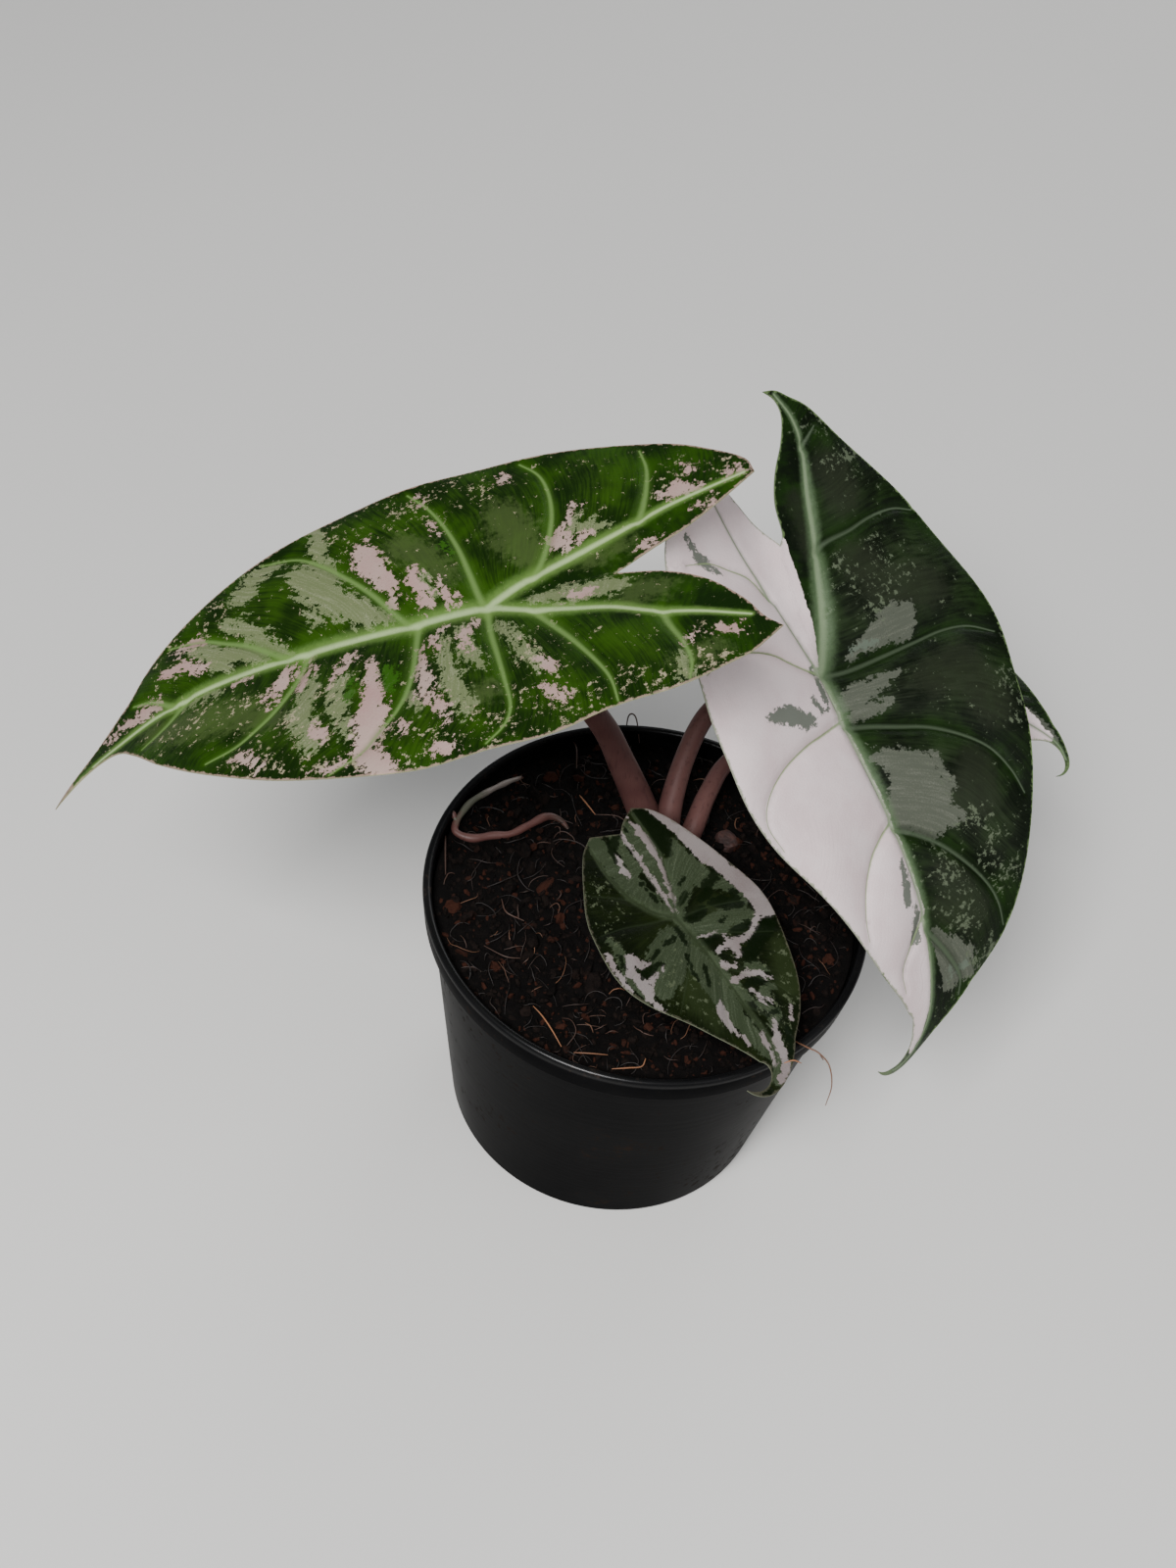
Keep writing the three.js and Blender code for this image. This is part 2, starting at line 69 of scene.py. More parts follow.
def photo_camera():
    """Makes the camera, which looks along +Y and down."""
    level = Vector((1, 0, 0))
    above = Vector((0, math.sin(CAMERA_ELEVATION), math.cos(CAMERA_ELEVATION)))
    forward = Vector((0, math.cos(CAMERA_ELEVATION), -math.sin(CAMERA_ELEVATION)))
    right = math.cos(CAMERA_ROLL) * level + math.sin(CAMERA_ROLL) * above
    up = math.cos(CAMERA_ROLL) * above - math.sin(CAMERA_ROLL) * level
    data = bpy.data.cameras.new("photo_camera")
    data.lens = CAMERA_LENS
    data.sensor_fit = "VERTICAL"
    data.sensor_height = CAMERA_FILM
    data.sensor_width = CAMERA_FILM
    data.clip_start = 0.01
    camera = bpy.data.objects.new("photo_camera", data)
    camera.matrix_world = Matrix((right, up, -forward)).transposed().to_4x4()
    camera.location = Vector(CAMERA_PLACE) * MM
    bpy.context.scene.collection.objects.link(camera)
    bpy.context.scene.camera = camera
    return camera


print("camera at", [round(v, 3) for v in photo_camera().location])

# %% [markdown]
# ## Nodes written as Python
#
# Materials and Geometry Nodes are both node trees. Adding nodes one call at a time hides
# the idea behind them, so a small class wraps an output and lets Python's own operators
# add the Math nodes. Everything else goes through one method, `node`, which takes the
# node's type, its settings and what its sockets get.


# %% Node helpers
class Link:
    """An output of a node. Python's operators on it add Math nodes."""

    def __init__(self, bench, output):
        self.bench = bench
        self.output = output

    def math(self, operation, *values):
        return self.bench.node("ShaderNodeMath", dict(enumerate(values)), operation=operation)

    def __add__(self, other):
        return self.math("ADD", self, other)

    def __radd__(self, other):
        return self.math("ADD", other, self)

    def __sub__(self, other):
        return self.math("SUBTRACT", self, other)

    def __rsub__(self, other):
        return self.math("SUBTRACT", other, self)

    def __mul__(self, other):
        return self.math("MULTIPLY", self, other)

    def __rmul__(self, other):
        return self.math("MULTIPLY", other, self)


def socket_of(sockets, key):
    """The socket with that number or identifier."""
    if isinstance(key, int):
        return sockets[key]
    return next(socket for socket in sockets if socket.identifier == key)


class Bench:
    """A node tree to which nodes are added by calls."""

    def __init__(self, tree):
        self.tree = tree

    def feed(self, socket, value):
        if isinstance(value, Link):
            self.tree.links.new(value.output, socket)
        elif socket.type == "RGBA":
            socket.default_value = (*value, 1)
        else:
            socket.default_value = value

    def node(self, kind, sockets=None, out=0, **settings):
        made = self.tree.nodes.new(kind)
        for name, value in settings.items():
            setattr(made, name, value)
        for key, value in (sockets or {}).items():
            self.feed(socket_of(made.inputs, key), value)
        return Link(self, socket_of(made.outputs, out)) if made.outputs else made


print("a bench can:", [name for name in vars(Bench) if name[0] != "_"])

# %% [markdown]
# ## Finishes
#
# A finish is a material with one Principled shader. Its patterns are built from noise,
# read at the object's own coordinates or at values that the mesh carries, such as the
# distance to the nearest vein. Smooth steps turn such values into masks, and masks mix
# colours.


# %% Finish class
class Finish(Bench):
    """A material, with the few steps that its pattern is made of."""

    def __init__(self, name):
        self.material = bpy.data.materials.new(name)
        self.material.use_nodes = True
        self.material.node_tree.nodes.clear()
        super().__init__(self.material.node_tree)

    def attribute(self, name, out="Fac"):
        return self.node("ShaderNodeAttribute", out=out, attribute_name=name)

    def place(self):
        return self.node("ShaderNodeTexCoord", out="Object")

    def scaled(self, vector, by):
        return self.node("ShaderNodeVectorMath", {0: vector, 1: by}, operation="MULTIPLY")

    def noise(self, vector, scale, detail=3.0, roughness=0.55):
        sockets = {"Vector": vector, "Scale": scale, "Detail": detail, "Roughness": roughness}
        return self.node("ShaderNodeTexNoise", sockets)

    def step(self, value, low, high):
        sockets = {"Value": value, "From Min": low, "From Max": high}
        return self.node("ShaderNodeMapRange", sockets, interpolation_type="SMOOTHSTEP")

    def mix(self, first, second, share):
        sockets = {"Factor_Float": share, "A_Color": first, "B_Color": second}
        return self.node("ShaderNodeMix", sockets, out="Result_Color", data_type="RGBA")

    def bump(self, height, depth, strength=1.0):
        sockets = {"Height": height, "Distance": depth, "Strength": strength}
        return self.node("ShaderNodeBump", sockets)

    def done(self, sockets):
        shader = self.node("ShaderNodeBsdfPrincipled", sockets)
        self.node("ShaderNodeOutputMaterial", {"Surface": shader})
        return self.material


print("steps of a finish:", [name for name in vars(Finish) if name[0] != "_"])

# %% [markdown]
# ## Smooth lines
#
# Leaf margins, veins, stalks and roots are all drawn through a few points. A Catmull-Rom
# spline passes through every point, which makes it easy to read a shape off the real
# thing; a Bezier curve would need handles as well. The frame's solids use the same
# spline, so pieces made here follow them.


# %% Smooth lines
def smooth_line(points, per_span):
    """Points on a Catmull-Rom spline through the given ones."""
    p = np.array(points, float)
    p = np.vstack([2 * p[0] - p[1], p, 2 * p[-1] - p[-2]])
    t = np.linspace(0, 1, per_span, endpoint=False)[:, None]
    spans = []
    for a, b, c, d in zip(p, p[1:], p[2:], p[3:]):
        slope = (c - a) * t
        bend = (2 * a - 5 * b + 4 * c - d) * t**2
        ease = (3 * b - a - 3 * c + d) * t**3
        spans.append(0.5 * (2 * b + slope + bend + ease))
    return np.vstack([*spans, p[-2:-1]])


def even_line(points, step):
    """The same line with its points a step apart."""
    gaps = np.linalg.norm(np.diff(points, axis=0), axis=1)
    along = np.concatenate([[0], np.cumsum(gaps)])
    count = max(2, int(round(along[-1] / step)) + 1)
    at = np.linspace(0, along[-1], count)
    return np.stack([np.interp(at, along, axis) for axis in points.T], axis=1)


def nearest_on(line, points):
    """For each point: its distance to the line, how far along it is, and its side."""
    best = np.full(len(points), np.inf)
    share = np.zeros(len(points))
    side = np.ones(len(points))
    spans = np.diff(line, axis=0)
    lengths = np.linalg.norm(spans, axis=1)
    starts = np.concatenate([[0], np.cumsum(lengths)])
    for start, span, length, done in zip(line, spans, lengths, starts):
        away = points - start
        t = np.clip(away @ span / length**2, 0, 1)
        gap = np.linalg.norm(away - t[:, None] * span, axis=1)
        closer = gap < best
        best = np.where(closer, gap, best)
        share = np.where(closer, (done + t * length) / starts[-1], share)
        turn = span[0] * away[:, 1] - span[1] * away[:, 0]
        side = np.where(closer, np.sign(turn), side)
    return best, share, side


print("a bend through 3 points has", len(smooth_line([(0, 0), (1, 2), (3, 2)], 8)), "points")

# %% [markdown]
# ## The leaves
#
# Each blade is drawn flat, with x running along the midrib from the point where the stalk
# joins it and y across, in millimetres. "left" and "right" are its halves, seen from
# above and looking towards the tip. A half has the inner edge of its back lobe, its outer
# margin, its lobe vein, half the width of that vein where it starts, and its side veins in
# order from the lobe to the tip. Patches of colour are strokes: each point has a place and
# a radius.
#
# One could paint such a leaf on a picture instead, but strokes along the veins stay sharp
# at any distance, and anyone can move one by changing a number.

# %% The large left leaf
LEFT_LEAF = {
    "node": "blade_left",
    "place": (-52.1, 4.1, 181),
    "heading": 194,
    "dip": 21.5,
    "roll": 2,
    "bend": {"rise": 0, "droop": -0.13, "lobes": 0, "fold": 0.14, "arch": 0.18, "twist": -0.07},
    "wave": (0.35, 9),
    "hook": (95, 1.4),
    "sinus": (-31.5, -0.5),
    "tip": (121, 0),
    "spacing": 1.15,
    "quilt": 1.4,
    "groove": 0.7,
    "midrib": [
        (0, 0), (20, -0.3), (40, -1), (60, -1.8), (75, -1.8), (88, -0.6), (98, 1.4), (108, 3.4),
        (116, 7),
    ],
    "midrib_width": (1.1, 0.3),
    "left": {
        "lobe_width": 0.94,
        "lobe": [(-43, 3.5), (-52.5, 10.5), (-60, 20.5), (-63.8, 28.2), (-67.4, 32.8)],
        "margin": [
            (-63.6, 35.6), (-59.6, 38.2), (-53, 40.3), (-41.5, 43.3), (-26, 43.9), (-11, 46.5),
            (5, 46.4), (20, 46), (37, 42.5),
            (55, 35.5), (73, 25.5), (85, 16.5), (93, 8.5), (99, 4), (108, 1.9),
        ],
        "lobe_vein": [(0, 0), (-10, 4.5), (-20, 8), (-30, 11.5), (-40, 17), (-50, 21), (-61, 26.5)],
        "side_veins": [
            [(-41, 17.3), (-42.5, 23), (-44.8, 29.4), (-46, 36), (-45, 41.5)],
            [(-11, 5), (-15, 11.5), (-20, 19.5), (-25.5, 30), (-27.6, 36), (-28.4, 42.5)],
            [(0, 0.5), (-0.5, 8.8), (-1.8, 17.5), (-3, 26), (-3.9, 35), (-2, 40.5), (2.5, 44.5)],
            [(17, 0), (17.8, 7.5), (18.5, 13.8), (20, 20.6), (23, 26.9), (27.4, 32), (32, 37), (40, 40.5)],
            [(45, -1), (48, 6.9), (53, 13.8), (58, 18.1), (64, 21.6), (72, 23)],
            [(78, -1.6), (84, 3.6), (91, 7.6)],
        ],
    },
    "right": {
        "lobe_width": 0.94,
        "lobe": [(-41, -5.5), (-50.5, -10), (-60.5, -16.3), (-68.4, -22)],
        "margin": [
            (-66.8, -27), (-60, -32.5), (-49, -39.3), (-33, -44.5), (-15, -46.5), (3, -47), (22, -45),
            (41.5, -40.5), (60, -33.5), (78, -24.5), (89, -16.5), (97, -8), (106, -2.6),
        ],
        "lobe_vein": [(0, 0), (-10, -5), (-22, -8.8), (-31, -11.9), (-39.5, -15), (-48, -18), (-66, -22.5)],
        "side_veins": [
            [(-39, -15), (-40.8, -20), (-42.3, -26), (-43, -32.5), (-42, -39.5)],
            [
                (-12, -5.6), (-15.1, -11.3), (-17.3, -18), (-18.5, -25), (-18.3, -32.5), (-16.4, -39.4),
                (-12, -45),
            ],
            [(0.5, -0.5), (1.8, -5), (3.4, -12.5), (5.5, -21.3), (8.6, -30), (12.4, -37.5), (17, -43.5)],
            [(19, -0.6), (23, -6.3), (28, -13.8), (34.3, -21.3), (40.5, -27.5), (46.8, -31.9), (56, -33.5)],
            [(50, -1.6), (54.3, -5), (60.5, -10), (66.8, -13.5), (73, -16.9), (83, -19.6)],
            [(82, -1.5), (88, -6), (94, -8)],
        ],
    },
    "patches": {
        "pale": [
            [(27, 44, 3), (31, 37, 2.6), (29.5, 29, 4.4), (28, 19, 2.6), (28.3, 9, 1.0)],
            [(13, 31, 0.6), (15.5, 24, 1.8), (16.5, 14, 1.3), (17, 8, 0.7)],
            [(11, 35, 1.1), (12, 28, 0.9)],
            [(-17, 38, 1.6), (-13, 35, 1.8)],
            [(-15, 28, 1.2), (-12, 24, 0.6)],
            [(-57, 29.5, 1.5), (-53, 28.5, 1.2)],
            [(-48, 28, 0.9), (-45.5, 29, 0.9)],
            [(50, 2, 1.4), (53, 8, 2.0), (54.5, 11, 1.2)],
            [(44.5, 1, 1.0), (45.6, 6, 1.6), (46.5, 10, 0.8)],
            [(34, 5, 1.3), (36, 9, 1.5), (38, 12, 0.8)],
            [(58, 31, 0.9), (61, 27, 1.5), (64, 25.5, 0.8)],
            [(36, 38.5, 0.8), (42, 38.5, 1.1)],
            [(41, 29, 1.2), (43, 26, 1.0)],
            [(9, 43, 0.9), (14, 42, 1.3)],
            [(21, 34, 1.0), (22, 31, 0.7)],
            [(3, 5, 0.8), (6, 9, 1.1), (5, 14, 0.7)],
            [(11, 4, 0.7), (13, 8, 0.9), (12, 12, 0.5)],
            [(-25, 4.2, 0.8), (-19, 3.6, 1.0)],
            [(22.5, -7, 1.0), (23, -13, 1.8), (26, -20, 2.9), (29.5, -26, 3.0), (28.5, -29.5, 1.0)],
            [(7, -3, 0.8), (9.5, -7, 1.1), (11, -11, 0.8)],
            [(13.5, -4.5, 1.3), (15, -9, 1.8), (17, -14, 1.8), (17, -16.5, 0.7)],
            [(-26, -14.5, 1.0), (-20, -12.5, 1.6), (-18, -16.5, 1.5), (-22, -19.5, 1.2), (-25, -24, 0.5)],
            [(-54, -21, 1.2), (-50, -22.5, 2.3), (-46.5, -21.5, 1.4)],
            [(-65.5, -23.8, 1.3), (-62.5, -22.8, 1.2)],
            [(-57, -16, 0.8), (-53, -15.2, 0.7)],
            [(-54, -27, 0.9), (-52, -30, 0.7)],
            [(-43, -8.5, 0.9), (-38, -7, 0.8)],
            [(73, -8, 1.3), (78, -11, 1.7), (83, -11.5, 1.2)],
            [(74, -17.5, 1.2), (80, -17, 1.4)],
            [(86, -4.5, 1.0), (91, -4, 1.6), (96, -3.4, 1.4), (101, -2.4, 0.8)],
            [(10, -28, 0.7), (11, -31, 0.5)],
            [(13, -39, 0.8), (14.5, -41, 0.6)],
            [(-8, -40, 1.0), (-8, -42, 0.7)],
            [(64, 0.5, 0.8), (60, 0, 0.9)],
        ],
        "sage": [
            [(6.5, 33, 2.2), (9, 24, 2.6), (10.5, 14, 1.8), (11, 6, 1.6)],
            [(34, 32, 1.2), (37, 22, 2.6), (36.5, 12, 2.2)],
            [(44, 30, 2.4), (46.5, 20, 3.2), (44, 11, 2.4), (46, 5, 1.4)],
            [(2, 20, 1.2), (5, 14, 2.2), (6, 6, 1.6)],
            [(-8, 22, 1.2), (-7, 14, 1.6), (-2, 7, 1.0)],
            [(-31, 4, 3.0), (-22, 3.4, 3.4), (-12, 1.6, 2.0)],
            [(-45, 40.5, 1.8), (-44.5, 34, 1.2)],
            [(24, -4.5, 2.0), (31, -8.5, 3.8), (37, -14, 4.6), (42, -20, 4.8), (46, -25.5, 3.6)],
            [(38, -22, 3.0), (41, -29, 2.8), (40.5, -36, 2.3), (41, -41, 1.6)],
            [(55, -4.5, 1.8), (61, -8, 3.0), (68, -8.5, 3.4), (73, -13.5, 2.6), (77, -16.5, 1.4)],
            [(50.5, -3.4, 1.4), (54, -6.5, 2.2), (58, -10.5, 2.4), (62, -15.5, 2.4), (65.5, -18.5, 1.2)],
            [(62, -25, 3.2), (57, -30, 2.6), (52, -32, 1.6)],
            [(41, -8, 1.0), (43, -12, 1.5)],
            [(68, 0.8, 1.0), (78, 0.6, 1.2)],
            [(12, -7, 1.8), (15, -13, 2.0)],
            [(-30, -16, 1.4), (-23, -17, 2.4), (-24, -21, 1.4)],
            [(-12, 26, 1.6), (-9, 20, 1.4)],
            [(17, 30, 1.2), (20, 22, 1.0)],
        ],
        "dim_and_sheen": [
            [(-12, -12, 4.0), (-9, -20, 6.0), (-6, -28, 4.0)],
            [(9, -12, 3.0), (14, -20, 4.5), (19, -25, 4.0)],
            [(1, 29, 3.2), (5, 31, 2.4)],
            [(-52, 34, 2.6), (-44, 36, 2.4)],
            [(-26, -7, 2.6), (-36, -8.5, 1.8)],
            [(-36, 8, 4.0), (-43, 9, 2.6)],
            [(54, 17, 3.0), (64, 12, 5.0), (76, 9, 5.0), (88, 4, 3.0)],
        ],
        "spot": [
            [(24, 19, 1.6), (25, 12, 1.4)],
            [(33.5, 15, 1.3), (35, 19, 1.0)],
            [(7, -20, 0.9), (9, -23, 0.8)],
        ],
        "fleck": [
            [(-52, 40, 5), (-30, 39, 6), (-8, 40, 6), (14, 40, 5), (36, 36, 5), (60, 26, 5)],
            [(-14, 20, 7), (-8, 32, 7)],
            [(62, 12, 6), (76, 8, 6), (88, 4, 4)],
            [(-60, -24, 5), (-46, -26, 5)],
            [(0, -40, 6), (20, -38, 7), (34, -34, 5)],
            [(70, -22, 5), (82, -14, 6)],
            [(46, 26, 8), (40, 14, 7)],
        ],
    },
}
print("left leaf:", len(LEFT_LEAF["patches"]["pale"]), "pale strokes")

# %% [markdown]
# ## The half-moon leaf
#
# This blade is dark on its left half and almost white on its right one. Wide "pale"
# strokes cover nearly all of the right half, small greenish "spot" strokes are laid over
# them, and greyish "sage" strokes break up the dark half.

# %% The half-moon leaf
HALF_MOON_LEAF = {
    "node": "blade_half_moon",
    "place": (33.2, 37.2, 145),
    "heading": -46,
    "dip": 31,
    "roll": -8,
    "bend": {"rise": 0.25, "droop": -0.5, "lobes": 0.2, "fold": 0.29, "arch": 0.08, "twist": 0.23},
    "wave": (0.5, 9),
    "hook": (90, -4.6),
    "sinus": (-35, 4.5),
    "tip": (118, 0),
    "spacing": 1.15,
    "quilt": 2.6,
    "groove": 1.1,
    "midrib": [
        (0, 0), (20, -0.8), (40, -1), (60, -1), (80, -1), (91, -1.2), (96.5, -2.7), (100.6, -6.2),
        (102.3, -11), (101.9, -15.5),
    ],
    "midrib_width": (0.85, 0.25),
    "left": {
        "lobe_width": 1.1,
        "lobe": [
            (-37.6, 6.4), (-45.4, 7.4), (-52.5, 10.6), (-59, 15.4), (-65, 18.2), (-69.5, 17.6),
            (-72.6, 14.6),
        ],
        "margin": [
            (-71.8, 18.6), (-69.5, 22), (-64.5, 28.3), (-54, 35), (-42, 41.5), (-30, 47), (-16, 51.5),
            (-2, 53.5),
            (10, 53), (22, 49.5), (38, 43.5), (55, 36), (70, 28), (81, 20.5), (88, 13),
            (92.6, 7), (95.8, 3.8), (99.4, 1.9), (103, 1.1), (108, 0.8), (113, 0.5),
        ],
        "lobe_vein": [
            (0, 0), (-7.5, 5), (-16, 9), (-25, 12.3), (-34, 15.4), (-44, 18), (-56, 21.6), (-64, 21.4),
            (-71, 18),
        ],
        "side_veins": [
            [(-56, 21.6), (-58, 25), (-60, 28)],
            [(-29.5, 14), (-31, 18.5), (-31.3, 26), (-32.3, 33.5), (-31.9, 41), (-29.5, 46.5)],
            [(0.5, 0.5), (2, 8.5), (2.5, 18.5), (2.8, 28.5), (3.1, 37.3), (5, 44.8), (9.5, 51)],
            [
                (15, -0.4), (17.3, 6), (20.6, 12.9), (24.4, 20.4), (30, 27.3), (36.3, 32.3),
                (43.8, 34.8), (51, 35.6),
            ],
            [(44, -1), (46.9, 3.5), (52.5, 9.1), (60, 14.1), (67.5, 17.9), (73.8, 19.8), (80, 20.2)],
            [(71, -0.8), (79, 4), (87, 7.6), (92, 7.4)],
        ],
    },
    "right": {
        "lobe_width": 0.4,
        "lobe": [(-42.5, -1), (-49, -5), (-55, -10), (-60, -17)],
        "margin": [
            (-57.5, -27), (-51.5, -36), (-42.5, -43), (-30, -46), (-14, -46.5), (4, -47.5),
            (20, -48.5), (33, -44.5), (48, -36), (62, -28), (76, -19.5), (86, -11.8),
            (92, -8.2), (98.4, -6), (103, -2.8), (107, -1.2), (112, -0.7),
        ],
        "lobe_vein": [(0, 0), (-12, -2.5), (-24, -6), (-36, -11), (-48, -15), (-58, -18)],
        "side_veins": [
            [(-23, -5.8), (-30, -11), (-34, -19), (-37, -26), (-38.5, -36)],
            [(-1, -0.5), (-6, -8), (-10.3, -14.5), (-13.2, -24), (-14, -35), (-12, -43)],
            [(13, -0.7), (13.8, -9), (14.6, -18), (17.2, -29.8), (21.7, -39.3), (27.3, -43.5), (35, -41.5)],
            [(42, -1), (44, -6), (47.5, -12.5), (53.5, -18.5), (60.7, -22), (66, -22.6)],
            [(68, -1), (73, -7), (78, -11.4), (84, -10.6)],
        ],
    },
    "patches": {
        "pale": [
            [
                (-38, -9, 11.5), (-24, -10, 13.5), (-8, -14, 14.5), (6, -16, 16), (26, -17, 16.7),
                (46, -15, 14.6), (66, -12, 11.6), (82, -8, 7), (90, -6.2, 5), (96, -5.8, 2.8),
                (99.6, -6.8, 1.1),
            ],
            [(-44, -26, 22), (-20, -32, 22), (10, -34, 22), (34, -30, 20), (60, -24, 16)],
            [(-36, 3.4, 2.9), (-26, 2.4, 3.8), (-14, 1.0, 3.7), (-5, -1.6, 3.6)],
        ],
        "sage": [
            [(-6, 29.5, 2.8), (-3, 27, 4.2), (-3.5, 20, 3.6), (-2.4, 14, 2.0), (-0.8, 9, 0.9)],
            [(-8, 26, 1.4), (-7, 22, 1.6)],
            [(7.6, 19.5, 0.6), (8, 13, 1.9), (8.5, 7, 3.0), (9, 3, 3.0)],
            [(13.6, 13, 1.2), (13.4, 7, 2.0), (13, 3, 1.8)],
            [(25, 2.5, 1.8), (28, 6.5, 3.4), (33, 9, 6.4), (40, 8, 8.2), (45, 9, 5.6), (48.5, 15, 1.8)],
            [(31.5, 16, 1.4), (40.5, 16.5, 1.4)],
            [(74, 1.5, 1.6), (79, 4, 3.2), (83, 6.5, 4.2), (86.5, 5, 3.2), (87, 10.5, 1.2)],
        ],
        # greyish patches on the dark half, partly grey tissue and partly painted sheen between the veins
        "dim_and_sheen": [
            [(-48, 27, 5), (-40, 27, 5)],
            [(-24, 23, 5), (-14, 26, 6), (-10, 38, 6)],
            [(13, 26, 5), (14, 36, 7), (26, 38, 6)],
            [(44, 22, 7), (38, 26, 5)],
            [(60, 8, 4), (72, 11, 5), (68, 5, 4)],
            [(-30, 12, 2), (-44, 14, 3)],
        ],
        "spot": [
            [(52.5, -3.8, 1.0), (56.5, -4.6, 1.6), (60.5, -6.2, 2.2), (62, -7.2, 1.4)],
            [(64.5, -3.2, 0.9), (68, -4.4, 1.9), (71, -5.2, 2.4)],
            [(9.2, -12.5, 1.6), (8.2, -16.5, 2.4), (5.4, -21, 2.8), (4.4, -25, 2.2), (3.8, -29, 1.0)],
            [(5, -8.8, 1.2), (9, -7.2, 0.8)],
            [(-3.5, -1.2, 0.5), (0.5, -2.4, 1.3), (5, -3.6, 1.5), (8.6, -4.4, 0.6)],
            [(-34.6, -24.8, 1.1), (-37, -28, 1.9), (-40, -31, 1.5), (-44.5, -32.6, 1.1)],
            [(-2.5, 10.5, 0.8), (-2.2, 14.5, 1.2), (-1.8, 17.5, 0.7)],
            [(84.5, 8.5, 0.8), (86.5, 4.5, 0.6), (82.5, 5, 0.5)],
        ],
        "fleck": [
            [(-50, 33, 4), (-44, 32, 3)],
            [(-24, 31, 4), (-16, 30, 5), (-13, 23, 5), (-22, 16, 4)],
            [(-59, 27, 4)],
            [(24, 46, 4), (30, 43, 3)],
            [(52, 18, 4), (60, 21, 5), (68, 22, 4)],
            [(56, 5, 4), (68, 9, 5), (74, 11, 4)],
            [(84, 14, 3), (92, 4, 3)],
        ],
    },
}
print("half-moon leaf:", len(HALF_MOON_LEAF["patches"]["sage"]), "sage strokes")
